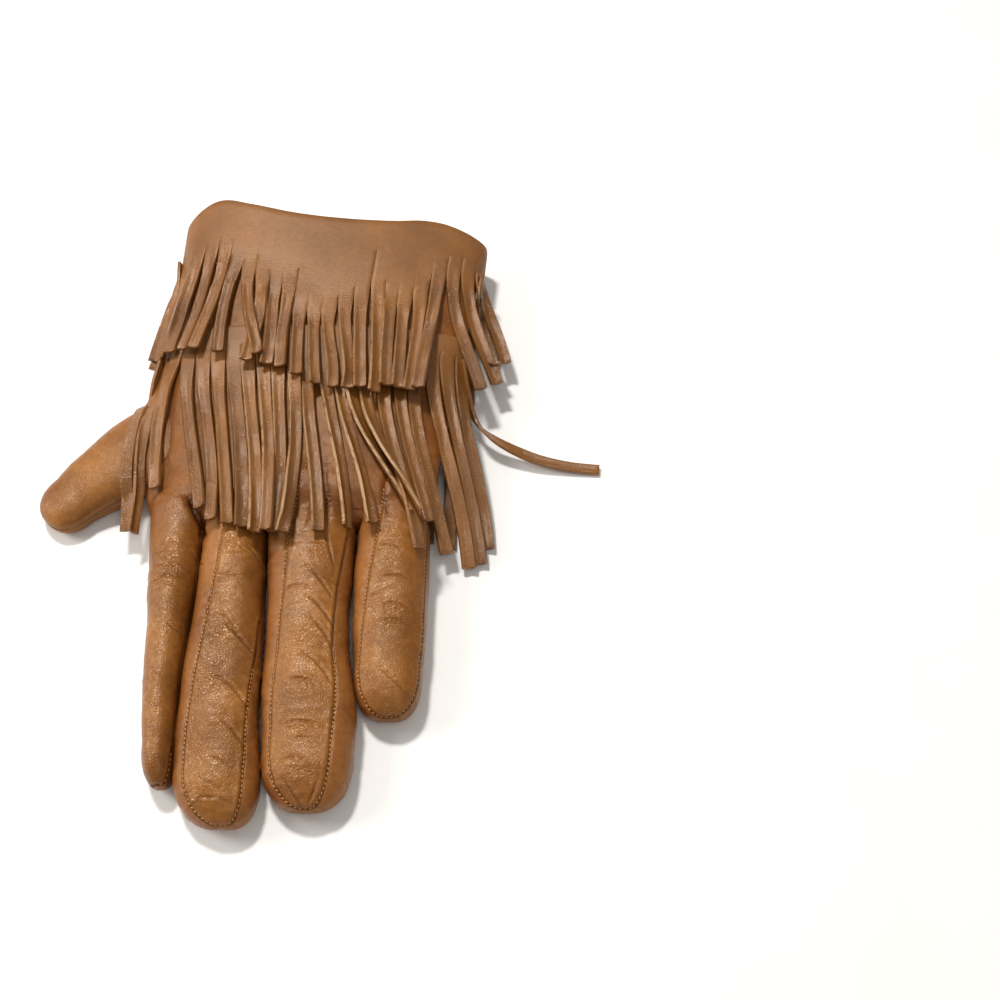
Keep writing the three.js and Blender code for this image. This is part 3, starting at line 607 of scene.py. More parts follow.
# %% The creases and the patches of wrinkles
PICKED_CREASES = [
    # height, pixels of the start, the middle and the end, then depth and width
    (13.5, (152.4, 580.5), (170, 577), (187, 579), 0.45, 0.8),
    (13.8, (189, 546), (196, 556), (203, 562), 0.40, 0.7),
    (13.2, (168.8, 623), (178, 630), (190, 631), 0.35, 0.7),
    (12.8, (151, 672), (162, 677), (174, 680), 0.25, 0.7),
    (14.2, (160, 556), (170, 562), (181, 570), 0.30, 0.7),
    (11.5, (143, 700), (152, 704), (160, 712), 0.20, 0.7),
    (14.0, (223, 622), (239, 636), (252.5, 650), 0.70, 0.8),
    (14.0, (211.6, 675), (232, 685), (246, 706), 0.60, 0.8),
    (13.2, (222, 720), (234, 731), (243, 745), 0.50, 0.8),
    (13.0, (208.6, 754.5), (222, 760), (240, 765), 0.35, 0.7),
    (12.0, (195, 771), (206, 782), (221, 788), 0.40, 0.7),
    (11.5, (194, 800), (211, 797), (232, 803), 0.40, 0.8),
    (14.6, (248, 546), (257, 553), (266, 566), 0.60, 0.8),
    (14.6, (217, 574), (231, 574), (246, 577), 0.35, 0.7),
    (14.6, (228, 541), (238, 545), (247, 551), 0.30, 0.7),
    (13.8, (219, 612), (229, 620), (239, 634), 0.35, 0.7),
    (14.2, (307.5, 596), (322, 608.6), (336, 630), 0.60, 0.8),
    (14.0, (309.6, 616.7), (324, 631), (334, 650), 0.55, 0.8),
    (13.8, (303, 651), (320, 665), (334, 686), 0.50, 0.8),
    (13.6, (288, 680), (300, 677.5), (315, 682), 0.40, 0.7),
    (13.2, (282, 723), (304, 720), (328, 728), 0.45, 0.8),
    (12.8, (279, 760), (295, 757), (316, 764), 0.40, 0.7),
    (12.0, (282, 776), (292, 791), (303.5, 803), 0.50, 0.7),
    (12.0, (303.5, 803), (312, 790), (317, 777), 0.45, 0.7),
    (14.8, (324, 528), (329, 545), (334, 568), 0.45, 0.8),
    (14.6, (306, 566), (319, 578), (331, 594), 0.55, 0.8),
    (14.0, (286, 588), (300, 586), (316, 590), 0.30, 0.7),
    (14.0, (322, 578), (330, 579), (338, 583), 0.35, 0.7),
    (12.6, (293, 740), (303, 737), (313, 743), 0.25, 0.6),
    (13.0, (379, 664), (395, 680), (415, 695), 0.45, 0.7),
    (12.0, (376, 711), (389, 709), (404, 707), 0.40, 0.7),
    (13.8, (381, 605), (394, 602), (408, 606), 0.35, 0.7),
    (13.8, (378, 621), (392, 618), (409, 623), 0.30, 0.7),
    (14.0, (385, 577), (398, 575), (413, 580), 0.35, 0.7),
    (14.2, (380, 545), (391, 545), (402, 549), 0.30, 0.7),
]
DEEP_FOLDS = [
    # x, y of the start, the middle and the end, then depth and width
    ((-34.5, -8.0), (-31.5, -14.5), (-28.0, -22.0), 1.60, 2.4),
    ((5.5, 2.0), (6.5, -8.0), (8.0, -19.0), 0.90, 1.4),
    ((2.5, -6.0), (3.0, -14.0), (1.5, -22.0), 0.60, 1.2),
    ((26.0, 4.0), (24.0, -6.0), (25.5, -16.0), 0.60, 1.2),
]
PICKED_PATCHES = [
    # height, pixel and radius of each patch of fine wrinkles
    (14.0, (218, 633), 3.5),
    (14.0, (211, 664), 3.0),
    (13.6, (209, 688), 2.4),
    (14.4, (232, 548), 4.0),
    (12.0, (196, 790), 3.0),
    (14.0, (303, 636), 4.2),
    (13.6, (303, 686), 2.4),
    (13.2, (304, 727), 2.0),
    (14.6, (318, 552), 3.2),
    (12.2, (300, 770), 3.0),
    (14.0, (390, 612), 4.2),
    (14.2, (388, 562), 3.4),
    (12.2, (390, 704), 2.4),
    (14.0, (178, 600), 3.2),
    (13.4, (174, 628), 2.6),
    (11.0, (150, 762), 3.4),
    (14.4, (170, 545), 4.0),
]
MORE_PATCHES = [
    # x, y and radius
    (27.0, -22.0, 4.0),
    (17.0, -60.0, 5.0),
    (17.5, -45.0, 4.0),
    (-36.0, -36.0, 4.0),
]
# Each crease is drawn with this many places, and its depth fades towards both ends
CREASE_STEPS, CREASE_ENDS, CREASE_FADE = 24, (0.04, 0.96), 0.7

folds = [
    (*(seen_place(pixel, height) for pixel in pixels), depth, width)
    for height, *pixels, depth, width in PICKED_CREASES
]
folds += DEEP_FOLDS
wrinkled = [(*seen_place(pixel, height), radius) for height, pixel, radius in PICKED_PATCHES]
wrinkled += MORE_PATCHES

crease_points, crease_depths, crease_widths = [], [], []
for *places, depth, width in folds:
    t = np.linspace(0, 1, CREASE_STEPS)[:, None]
    start, middle, end = (np.array([place]) for place in places)
    control = 2 * middle - (start + end) / 2
    line = (1 - t) ** 2 * start + 2 * t * (1 - t) * control + t**2 * end
    points, normals = dropped(line, outer_tree)
    fade = np.sin(math.pi * np.linspace(*CREASE_ENDS, len(points))) ** CREASE_FADE
    crease_points += list(points)
    crease_depths += list(depth * fade)
    crease_widths += [width] * len(points)
print(len(folds), "creases and", len(wrinkled), "patches of wrinkles")

# %% [markdown]
# ## The height of the leather
#
# One function says how far the leather stands out at any point. Seams are narrow grooves with a ridge on
# the panel's side, where the leather is turned in. Creases follow the table. Slow noise adds soft dents
# and, in patches, ripples, because no hand fills a glove evenly; the thumb is calmer. The same function
# gives the finish three values for each point: how much painted shade a seam or crease puts into the
# colour, how worn the leather is, and how much painted shade falls under the fringe.

# %% The relief
SEAM_DEPTH, SEAM_WIDTH = 0.36, 0.38
RIDGE_HEIGHT, RIDGE_PLACE, RIDGE_WIDTH = 0.20, 1.1, 0.6
CREASE_SHARPNESS = 0.45
# Shares of a crease's depth, and the place and width of its swelling in crease widths
VALLEY, VALLEY_POWER = 0.80, 1.5
SWELLING, SWELLING_PLACE, SWELLING_WIDTH = 0.26, 2.4, 1.4
# Heights of the noise and the sizes of its waves
DENTS, DENT_SIZE = 0.42, 11.0
RIPPLES, RIPPLE_SIZE = 0.30, (3.4, 2.0, 3.4)
PATCH_SIZE, PATCH_SHIFT, PATCH_BASE, PATCH_GAIN = 14.0, (7, 3, 1), 0.4, 1.8
# Where the thumb's calm, the relief above the table, its end at the cuff and the painted shade under the
# fringe begin, and over which length each grows
CALM_START, CALM_LENGTH, CALM_SHARE = -52.0, 6.0, 0.6
SOLE_HEIGHT, SOLE_LENGTH = 0.4, 2.5
DETAIL_END, DETAIL_LENGTH = 62.0, 8.0
COVER_START, COVER_LENGTH, COVER_SIDE, COVER_SIDE_LENGTH = -21.0, 9.0, -52.0, 4.0
# How strongly and how far painted shade darkens the leather in a seam and a crease, and how far a crease
# wears it
SEAM_SHADE, SEAM_SHADE_WIDTH = 0.6, 0.5
CREASE_SHADE, CREASE_SHADE_WIDTH = 1.4, 0.9
CREASE_WEAR, CREASE_WEAR_WIDTH = 0.5, 2.5


def kd_tree(points):
    tree = KDTree(len(points))
    for i, point in enumerate(points):
        tree.insert(point, i)
    tree.balance()
    return tree


def nearest(tree, points):
    """The place, the number and the distance of what a tree holds nearest to each point."""
    places, numbers, distances = zip(*(tree.find(point) for point in points))
    return np.array(places), np.array(numbers), np.array(distances)


inwards = []
seam_places = [points for points, normals in seam_lines.values()]
for points in seam_places:
    step = unit(np.gradient(points[:, :2], axis=0))
    inwards.append(np.stack([-step[:, 1], step[:, 0]], -1))
seam_tree = kd_tree(np.vstack([*seam_places, thumb_seam]))
inward = np.vstack([*inwards, np.zeros((len(thumb_seam), 2))])
crease_tree = kd_tree(crease_points)


def noise_at(points, size, shift=(0, 0, 0)):
    return np.array([noise.noise(Vector(point) / size + Vector(shift)) for point in points])


def relief(points):
    """How far the leather stands out (mm), then painted groove shade, wear and painted fringe shade, 0 to
    1.
    """
    x, y, z = points.T
    place, seam_number, seam = nearest(seam_tree, points)
    inside = ((points - place)[:, :2] * inward[seam_number]).sum(1) > 0
    height = -SEAM_DEPTH * bell(seam, SEAM_WIDTH)
    height += RIDGE_HEIGHT * inside * bell(seam - RIDGE_PLACE, RIDGE_WIDTH)

    place, crease_number, crease = nearest(crease_tree, points)
    depth = np.array(crease_depths)[crease_number]
    width = CREASE_SHARPNESS * np.array(crease_widths)[crease_number]
    height -= VALLEY * depth * np.exp(-np.abs(crease / width) ** VALLEY_POWER)
    height += SWELLING * depth * bell(crease - SWELLING_PLACE * width, SWELLING_WIDTH * width)

    dents = DENTS * noise_at(points, DENT_SIZE)
    patch = PATCH_BASE + PATCH_GAIN * noise_at(points, PATCH_SIZE, PATCH_SHIFT)
    ripples = RIPPLES * noise_at(points / RIPPLE_SIZE, 1.0) * ease(patch)
    height += (dents + ripples) * (1 - CALM_SHARE * ease((CALM_START - x) / CALM_LENGTH))
    height *= ease((z - SOLE_HEIGHT) / SOLE_LENGTH) * ease((DETAIL_END - y) / DETAIL_LENGTH)

    # Painted shade: seams and creases darken the colour, as shade falls in their grooves
    painted_groove_shade = SEAM_SHADE * bell(seam, SEAM_SHADE_WIDTH)
    painted_groove_shade += CREASE_SHADE * depth * bell(crease, CREASE_SHADE_WIDTH * width)
    worn = CREASE_WEAR * bell(crease, CREASE_WEAR_WIDTH)
    for patch_x, patch_y, radius in wrinkled:
        worn += bell(np.hypot(x - patch_x, y - patch_y), radius)
    # Painted shade: the hand is darker under the fringe, where the strips shade it
    painted_fringe_shade = ease((y - COVER_START) / COVER_LENGTH) * ease((x - COVER_SIDE) / COVER_SIDE_LENGTH)
    return height, np.minimum(painted_groove_shade, 1.0), np.minimum(worn, 1.0), painted_fringe_shade


print("seams at", len(inward), "places, creases at", len(crease_points))

# %% [markdown]
# ## Pressing the seams and creases in
#
# A grid square of 0.8 mm is too coarse for a stitch groove. So only the edges near a seam or a crease
# are subdivided, and the rest stays light. Where fingers meet the hand the corner is smoothed a little,
# as stuffed leather is never sharp. Then every vertex moves along its own normal by what `relief` says.

# %% Refine and press
REFINE_REACH = 1.7
CROTCH, CROTCH_FLOOR, SMOOTHINGS = (-26.0, 0.0), 6.0, 10
EVERY_AXIS = {"use_axis_x": True, "use_axis_y": True, "use_axis_z": True}


def press(piece, crotch=None):
    bm = bmesh.new()
    bm.from_mesh(piece.data)
    if crotch:
        soft = [v for v in bm.verts if crotch[0] < v.co.y < crotch[1] and v.co.z > CROTCH_FLOOR]
        for turn in range(SMOOTHINGS):
            bmesh.ops.smooth_vert(bm, verts=soft, factor=0.5, **EVERY_AXIS)
    points = np.array([v.co for v in bm.verts])
    close = np.minimum(nearest(seam_tree, points)[2], nearest(crease_tree, points)[2]) < REFINE_REACH
    bm.verts.ensure_lookup_table()
    edges = [e for e in bm.edges if close[e.verts[0].index] and close[e.verts[1].index]]
    bmesh.ops.subdivide_edges(bm, edges=edges, cuts=2, use_grid_fill=True)
    bmesh.ops.triangulate(bm, faces=bm.faces)
    bm.to_mesh(piece.data)
    bm.free()
    piece.data.update()
    points = points_of(piece.data)
    normals = np.zeros(len(points) * 3, np.float32)
    piece.data.vertex_normals.foreach_get("vector", normals)
    move_points(piece.data, points + normals.reshape(-1, 3) * relief(points)[0][:, None])


press(outer, CROTCH)
press(thumb_outer)
print("outer skin, pressed:", len(outer.data.polygons), "faces")
skin_tree = tree_of(outer)
thumb_tree = tree_of(thumb_outer)

# %% [markdown]
# ## Cutting the pattern pieces
#
# A glover cuts a back, a palm, a thumb and long side strips. Here the hollow skin is parted with
# cutters: flat outlines stretched upwards. What lies inside the seam lines is the back. The side strips
# are what is left between two fingers, and the palm is the rest. The pieces keep a hair's gap, so each
# is a solid of its own.

# %% Cutters
SEAM_GAP = 0.1
BACK_FLOOR, SIDE_FLOOR, ABOVE = 5.8, 2.3, 40.0


def prism(name, outline, floor):
    """A flat outline stretched upwards. floor is a height, or a function of the place along the glove."""
    bm = bmesh.new()
    bmesh.ops.create_circle(bm, segments=len(outline), radius=1.0, cap_ends=True)
    for vertex, (x, y) in zip(bm.verts, outline):
        vertex.co = (x, y, floor(y) if callable(floor) else floor)
    raised = bmesh.ops.extrude_face_region(bm, geom=bm.faces[:])
    for item in raised["geom"]:
        if isinstance(item, bmesh.types.BMVert):
            item.co.z = ABOVE
    bmesh.ops.recalc_face_normals(bm, faces=bm.faces)
    return new_piece(name, bm)


def waist_line(y):
    left, right, low, high, lean = along_table(HAND, [y])
    return float((low + (high - low) * WAIST)[0])


BACK_START, BACK_END, BACK_SIDE = -13.0, 118.0, 70.0


def back_cutter(grown):
    along = np.linspace(BACK_START - grown, BACK_END, 14)
    block = [(-BACK_SIDE, y) for y in along] + [(BACK_SIDE, y) for y in along[::-1]]
    cutter = prism("back_area", block, lambda y: waist_line(y) - grown)
    for finger in FINGERS:
        combine(cutter, prism(finger, seam_outline(finger, grown), BACK_FLOOR - grown), "UNION")
    return cutter


# A side strip ends a little before the fingertip. It takes in the finger's edge and reaches past its
# middle, and it is cut wider where two fingers meet.
SIDE_END, SIDE_MIDDLE = 0.8, 0.8
SIDE_EDGE, SIDE_EDGE_CROTCH, CROTCH_END = 0.38, 2.2, -16
NEIGHBOURS = [("index", "middle"), ("middle", "ring"), ("ring", "little")]


def side_cutter(first, second, grown):
    halves = []
    for finger, side in ((first, 1), (second, -1)):
        rows, tip = FINGERS[finger]
        y = np.linspace(CUT_START, tip[1] + SIDE_END - grown, 30)
        left, right, low, high = along_table(rows, y)
        edge = (right if side > 0 else left) + side * np.where(y > CROTCH_END, SIDE_EDGE_CROTCH, SIDE_EDGE)
        middle = (left + right) / 2 + side * SIDE_MIDDLE
        outline = [*zip(edge, y), *zip(middle[::-1], y[::-1])]
        halves.append(prism("side_area", outline, SIDE_FLOOR - grown))
    return combine(*halves, "UNION")


print("cutters: one for the back,", len(NEIGHBOURS), "for the side strips")

# %% The hollow skin, parted
combine(outer, inner, "DIFFERENCE")
combine(outer, thumb_inner, "DIFFERENCE", keep=True)
thumb = copy_of(thumb_outer, "thumb_leather")
combine(thumb, thumb_inner, "DIFFERENCE")
combine(thumb, around, "DIFFERENCE")

back = combine(copy_of(outer, "back_leather"), back_cutter(0.0), "INTERSECT")
palm = combine(copy_of(outer, "palm_leather"), back_cutter(SEAM_GAP), "DIFFERENCE")
sides = []
for first, second in NEIGHBOURS:
    strip = copy_of(palm, f"side_strip_{first}_{second}")
    sides.append(combine(strip, side_cutter(first, second, 0.0), "INTERSECT"))
for first, second in NEIGHBOURS:
    combine(palm, side_cutter(first, second, SEAM_GAP), "DIFFERENCE")
for piece in (back, palm, thumb, *sides):
    print(piece.name, len(piece.data.polygons), "faces")

# %% [markdown]
# ## Stitches
#
# The seams are sewn with a thick golden thread. Each stitch shows as a short bead that crosses the
# groove at a slant. One bead is a small sphere, stretched, turned and laid in the groove, with few
# faces, because there are hundreds of them. A curve with a bevel could be the thread too, but it would
# run on where the real thread dips.

# %% The stitches
STITCH_PITCH = 1.3
STITCH_SIZE = (0.92, 0.38, 0.34)
STITCH_SLANT = math.radians(26.0)
STITCH_LIFT = 0.16


def sew(name, lines):
    bm = bmesh.new()
    count = 0
    for points in lines:
        line = spaced(points, STITCH_PITCH)
        for i in range(1, len(line) - 1):
            along = Vector(line[i + 1] - line[i - 1]).normalized()
            place, normal, face, distance = skin_tree.find_nearest(Vector(line[i]))
            side = normal.cross(along).normalized()
            slanted = along * math.cos(STITCH_SLANT) + side * math.sin(STITCH_SLANT)
            across = normal.cross(slanted).normalized()
            turn = Matrix((slanted, across, normal)).transposed().to_4x4()
            at = Matrix.Translation(place + normal * STITCH_LIFT) @ turn
            size = Matrix.Diagonal((*STITCH_SIZE, 1.0))
            bmesh.ops.create_uvsphere(bm, u_segments=7, v_segments=5, radius=0.5, matrix=at @ size)
            count += 1
    print(name, count, "stitches")
    return new_piece(name, bm)


def sewn_line(finger):
    points, normals = seam_lines[finger]
    return points[shown(points, SEAM_SHOWN[finger][1]) & (normals[:, 2] > SEWN_FACES_UP)]


stitches = sew("seam_stitches", [sewn_line(finger) for finger in FINGERS])

# %% [markdown]
# ## The fringe
#
# A fringe is made from one band of leather: its upper edge stays whole and is sewn to the glove, and the
# rest is slit into strips about 4 mm wide. The mesh is made the same way. One long grid goes round the
# cuff, the faces of the slits are taken out, and the columns that are left are bent, each to its own
# place. Then Solidify gives the leather its thickness, with a material of its own for the flesh side and
# for the cut edge.
#
# A real strip lies on whatever is under it. So each strip is laid down by rays: its height and its tilt
# come from the skin and from the strips that lie there already. Cloth simulation could drop the strips
# too, but it would not put each one where the real glove has it.

# %% The tables of the strips
UPPER_TIPS = [
    # x, y, z of the tip, bow to the right, layer (0 hangs beside, 1 to 3 lie on the glove), roll in
    # degrees (thumb-side edge up), and where its slit begins on the side away from the thumb
    (-53.4, 47.0, 5.0, 0.6, 0, 0, 92.0),
    (-53.2, 45.0, 10.0, 0.8, 0, 0, 92.0),
    (-50.6, 44.0, 14.6, 0.2, 1, -14, 90.0),
    (-46.6, 45.6, 17.6, -0.8, 2, 6, 90.0),
    (-42.6, 44.2, 19.6, 0.4, 1, -8, 92.0),
    (-38.6, 44.6, 21.0, 0.8, 3, 5, 92.0),
    (-30.4, 42.0, 21.6, -1.0, 1, 6, 83.0),
    (-17.6, 40.0, 22.6, -0.6, 3, 10, 86.0),
    (-21.4, 37.4, 22.4, 1.0, 1, 0, 80.0),
    (-14.6, 36.8, 22.0, 0.4, 1, 14, 77.0),
    (-10.2, 35.2, 22.0, -0.3, 2, -4, 80.0),
    (-5.4, 32.2, 21.8, 0.3, 1, 12, 66.0),
    (0.8, 29.3, 21.6, -0.2, 2, 3, 66.0),
    (6.4, 28.1, 21.6, 0.2, 1, 10, 71.0),
    (10.8, 26.5, 21.6, 0.2, 1, 26, 73.0),
    (14.9, 26.9, 21.8, 0.2, 2, 5, 88.0),
    (19.2, 25.9, 21.6, 0.4, 1, 24, 78.0),
    (22.6, 28.5, 21.4, 0.2, 2, -6, 72.0),
    (26.2, 27.7, 21.2, 0.5, 1, 5, 74.0),
    (30.0, 27.3, 20.6, 0.4, 2, -4, 86.0),
    (32.6, 26.6, 19.6, 0.2, 3, -34, 90.0),
    (52.0, 34.3, 12.6, -1.4, 0, 8, 90.0),
    (57.0, 39.0, 9.0, -1.0, 0, 0, 90.0),
    (59.6, 50.0, 7.0, 0.6, 0, 0, 90.0),
    (56.8, 46.0, 2.6, 0.0, 0, 0, 90.0),
]
LOWER_TIPS = [
    (-52.8, -16.1, 7.0, -3.4, 0, 4, 48.0),
    (-50.4, -18.6, 9.2, -1.0, 0, -46, 48.0),
    (-44.6, -7.0, 15.2, -1.8, 1, 6, 48.0),
    (-29.8, -15.6, 17.6, 0.0, 2, 2, 48.0),
    (-25.8, -19.5, 17.4, 1.5, 1, 6, 48.0),
    (-20.8, -21.2, 17.6, 1.1, 2, 3, 48.0),
    (-17.0, -22.0, 17.4, 1.7, 1, 8, 48.0),
    (-13.0, -23.6, 17.0, 2.0, 2, 10, 48.0),
    (-9.4, -23.6, 17.4, 2.0, 1, 16, 48.0),
    (-6.8, -24.2, 17.6, 2.0, 1, 8, 48.0),
    (-4.6, -25.1, 17.4, 2.5, 2, 28, 48.0),
    (5.6, -23.6, 17.4, 0.9, 1, 6, 48.0),
    (13.8, -22.0, 17.2, 1.8, 2, 32, 48.0),
    (21.0, -21.2, 17.0, 0.8, 1, 34, 48.0),
    (32.2, -18.1, 17.4, -3.4, 1, 70, 48.0),
    (35.0, -19.5, 18.0, -3.2, 2, 66, 48.0),
    (34.8, -27.6, 14.0, -0.8, 1, 12, 48.0),
    (36.8, -17.0, 13.0, -0.6, 1, 4, 48.0),
    (42.6, -23.6, 5.5, -1.0, 2, 6, 48.0),
    (48.8, -26.4, 2.0, 1.5, 0, 0, 48.0),
    (52.2, -24.9, 1.6, 1.8, 0, 0, 48.0),
    (54.4, -19.6, 1.4, 1.4, 0, 0, 48.0),
]
STRAY = [(47.6, 33.0, 7.4), (51.6, 23.4, 7.0), (66.0, 14.6, 3.6), (79.0, 11.8, 1.4), (89.0, 10.9, 0.8)]
ROWS = {
    # end of the header, its lower edge, number of strips, where those under the palm end, and which
    # strips show their raw cut and how clearly
    "upper": {"top": 103.4, "slit": 94.0, "count": 46, "under": (36.5, 1.2), "raw": (8, 21, 0.5)},
    "lower": {"top": 54.5, "slit": 50.5, "count": 42, "under": (-18.0, 1.6), "raw": (7, 16, 1.0)},
}
HEADER_ROWS, SLIT_ROWS, FREE_ROWS = 5, 9, 36
print(len(UPPER_TIPS), "upper and", len(LOWER_TIPS) + 1, "lower strips show")

# %% What a strip lies on
CELLS = 4
THICK = 0.95


class Pile:
    """What strips can lie on: surfaces with the box that each covers."""

    def __init__(self, trees):
        self.layers = [(tree, None) for tree in trees]

    def add(self, points):
        rows, columns = points.shape[:2]
        flat = points.reshape(-1, 3)
        corners = (np.arange(rows - 1)[:, None] * columns + np.arange(columns - 1)).ravel()
        faces = [(k, k + 1, k + columns + 1, k + columns) for k in corners.tolist()]
        tree = BVHTree.FromPolygons([Vector(p) for p in flat], faces)
        self.layers.append((tree, (flat.min(0), flat.max(0))))

    def height(self, x, y):
        best = 0.0
        for tree, box in self.layers:
            if box is not None and not (box[0][0] <= x <= box[1][0] and box[0][1] <= y <= box[1][1]):
                continue
            place = tree.ray_cast(Vector((x, y, RAY_START)), DOWN)[0]
            if place is not None:
                best = max(best, place.z)
        return best


def eased(values, times):
    """Evens out a row of values, ends kept."""
    values = np.array(values, float)
    for turn in range(times):
        values[1:-1] = (values[:-2] + 2 * values[1:-1] + values[2:]) / 4
    return values


def widest(values, reach):
    """The largest value within a few places of each one."""
    padded = np.pad(values, reach, mode="edge")
    return np.max([padded[k : k + len(values)] for k in range(2 * reach + 1)], axis=0)


def square_to(path):
    """The level direction across a path."""
    tangent = unit(np.gradient(path, axis=0))
    return unit(np.stack([-tangent[:, 1], tangent[:, 0], 0 * tangent[:, 0]], -1))


def turned_to(first, second, share):
    return unit(first * (1 - share) + second * share)


print("a strip is", THICK, "mm thick and", CELLS, "cells wide")

# %% Laying one strip
# Shares of a strip's length: the start and the length of its roll, its first touch and its landing
ROLL_START, ROLL_LENGTH, TOUCHED, LANDED = 0.08, 0.75, 0.16, 0.30
# Shares of its width where rays look under it, and the steepest slope that it follows
PROBED, PROBED_SPAN, STEEPEST = 0.86, 0.8, 0.5
# Air under a strip, how far it may sag into that, and the air under one that hangs beside the glove
AIR, SAG, HANGING_AIR = 0.06, 0.05, 0.25
WAVE, WAVE_BASE, WAVE_SIZE, WAVE_PLACE = 0.42, 0.4, (6.0, 5.0), 3.7


def lay(path, across, over, roll, width, pile, cup):
    """Points of a strip, one row of five for each place on its path."""
    path = path.copy()
    steps = np.linspace(0, 1, len(path))
    turned = -math.radians(roll) * ease((steps - ROLL_START) / ROLL_LENGTH)
    offsets = np.linspace(-0.5, 0.5, CELLS + 1)
    if over:
        flat = square_to(path)
        flat *= np.sign(flat[:, :1])
        heights = []
        for point, side, lean, wide in zip(path, flat, turned, width):
            reach = PROBED * wide * math.cos(lean)
            heights.append([pile.height(*(point[:2] + side[:2] * reach * k)) for k in offsets])
        heights = np.array(heights)
        slope = (heights[:, -2:].max(1) - heights[:, :2].max(1)) / (PROBED_SPAN * width)
        tilt = eased(np.arctan(np.clip(slope, -STEEPEST, STEEPEST)), 14) + turned
        drops = heights - width[:, None] * offsets * np.sin(tilt)[:, None]
        need = drops.max(1) + THICK / 2 * np.cos(tilt) + AIR
        height = np.maximum(eased(widest(need, 3), 16), need)
        height = np.maximum(eased(height, 4), need - SAG)
        begin = ease(steps / LANDED)
        above = path[:, 2] + np.maximum(need - path[:, 2], 0) * ease(steps / TOUCHED)
        path[:, 2] = np.maximum(path[:, 2] * (1 - begin) + height * begin, above)
        path[:, 2] = eased(path[:, 2], 3)
        wave = [noise.noise(Vector((*(point[:2] / WAVE_SIZE), WAVE_PLACE))) for point in path]
        path[:, 2] += WAVE * begin * (WAVE_BASE + np.array(wave))
        level = flat * np.cos(tilt)[:, None] + np.array([0, 0, 1.0]) * np.sin(tilt)[:, None]
        across = turned_to(across, level, begin[:, None])
    else:
        normal = unit(np.cross(across, unit(np.gradient(path, axis=0))))
        for point in path:
            point[2] = max(point[2], pile.height(point[0], point[1]) + THICK / 2 + HANGING_AIR)
        path[:, 2] = np.maximum(eased(path[:, 2], 6), THICK / 2)
        across = across * np.cos(turned)[:, None] + normal * np.sin(turned)[:, None]
    tangent = unit(np.gradient(path, axis=0))
    across = unit(across - tangent * (across * tangent).sum(1)[:, None])
    normal = np.cross(across, tangent)
    spread = path[:, None] + across[:, None] * (offsets * width[:, None])[:, :, None]
    bend = cup * ease(steps / LANDED)[:, None] * (4 * offsets**2 - 0.4)
    return spread - normal[:, None] * bend[:, :, None]


def clear_of(points, trees, room):
    """Pushes points that are too near a skin out along its normal."""
    flat = points.reshape(-1, 3)
    for tree in trees:
        for point in flat:
            place, normal, face, distance = tree.find_nearest(Vector(point), 3.0)
            if place is None:
                continue
            depth = (Vector(point) - place).dot(normal)
            if depth < room:
                point += np.array(normal) * (room - depth)
    flat[:, 2] = np.maximum(flat[:, 2], THICK / 2 + 0.02)
    return flat.reshape(points.shape)


print("each strip is probed by", CELLS + 1, "rays a row")

# %% The three kinds of strip
STRIP_WIDTH = 3.75
STEPS = np.linspace(0, 1, FREE_ROWS)[:, None]
# How far chance may move a strip: its width, its tip, its bow, its roll, its cup and a slight swing. One
# more number is drawn for each strip and stays spare.
VARIETY = {"width": 0.3, "x": 0.3, "y": 0.6, "bow": 0.4, "roll": 5.0, "cup": 0.12, "swing": 0.25}
DRAWS = 8
CUP, STRAY_CUP = 0.72, 0.3
LEAD = 0.8
# How soon a hanging strip, the stray one and those under the palm turn level
LEVEL_SPEED, STRAY_START, STRAY_SPEED, UNDER_SPEED = 1.7, 0.15, 2.0, 3.2
UNDER_BOW, UNDER_DRIFT, UNDER_SPREAD, UNDER_AIR = 0.5, 0.6, 1.6, 0.03


def seen_strip(tip, below, lead, across, width, nudge, pile):
    """From its slit to its tip in the table. It leaves the band in the band's own direction, lead."""
    x, y, z, bow, over, roll, start = tip
    vary = {key: size * nudge[key] for key, size in VARIETY.items()}
    run = np.array([x + vary["x"], y + vary["y"], z]) - below
    path = below + run * STEPS + (lead * np.linalg.norm(run) - run) * STEPS * (1 - STEPS) ** 2 * LEAD
    path[:, :1] += (bow + vary["bow"]) * np.sin(math.pi * STEPS)
    path[:, :1] += vary["swing"] * np.sin(2 * math.pi * STEPS)
    if over:
        sideways = np.repeat(across[None], FREE_ROWS, 0)
    else:
        sideways = turned_to(across, np.array([1.0, 0.0, 0.0]), np.minimum(LEVEL_SPEED * STEPS, 1.0))
    return lay(path, sideways, over, roll + vary["roll"], width, pile, CUP + vary["cup"])


def stray_strip(below, across, width, pile):
    """The strip that lies far out to the side, along a line of its own."""
    knots = np.array([below, *STRAY])
    way = way_along(knots)
    table = [(d, *knot) for d, knot in zip(way, knots)]
    path = along_table(table, np.linspace(0, way[-1], FREE_ROWS)).T
    share = np.clip((STEPS - STRAY_START) * STRAY_SPEED, 0, 1)
    return lay(path, turned_to(across, square_to(path), share), 0, 0, width, pile, STRAY_CUP)


def under_strip(row, below, across, width, nudge, spread):
    """A plain strip that lies flat on the table, under the palm."""
    tip_y, wave = ROWS[row]["under"]
    down = ease(STEPS * UNDER_SPEED)
    path = np.repeat(below[None], FREE_ROWS, 0)
    path[:, :1] += UNDER_BOW * nudge["bow"] * np.sin(math.pi * STEPS) + UNDER_DRIFT * nudge["x"] * STEPS
    path[:, :1] += spread * STEPS
    path[:, 1:2] = below[1] + (tip_y + wave * nudge["y"] - below[1]) * STEPS
    path[:, 2:3] = below[2] + (THICK / 2 + UNDER_AIR - below[2]) * down
    flat = np.array([np.sign(across[0]), 0.0, 0.0])
    return lay(path, turned_to(across, flat, down), 0, 0, width, Pile([]), 0.0)


print("chance may change the width by", VARIETY["width"], "mm")

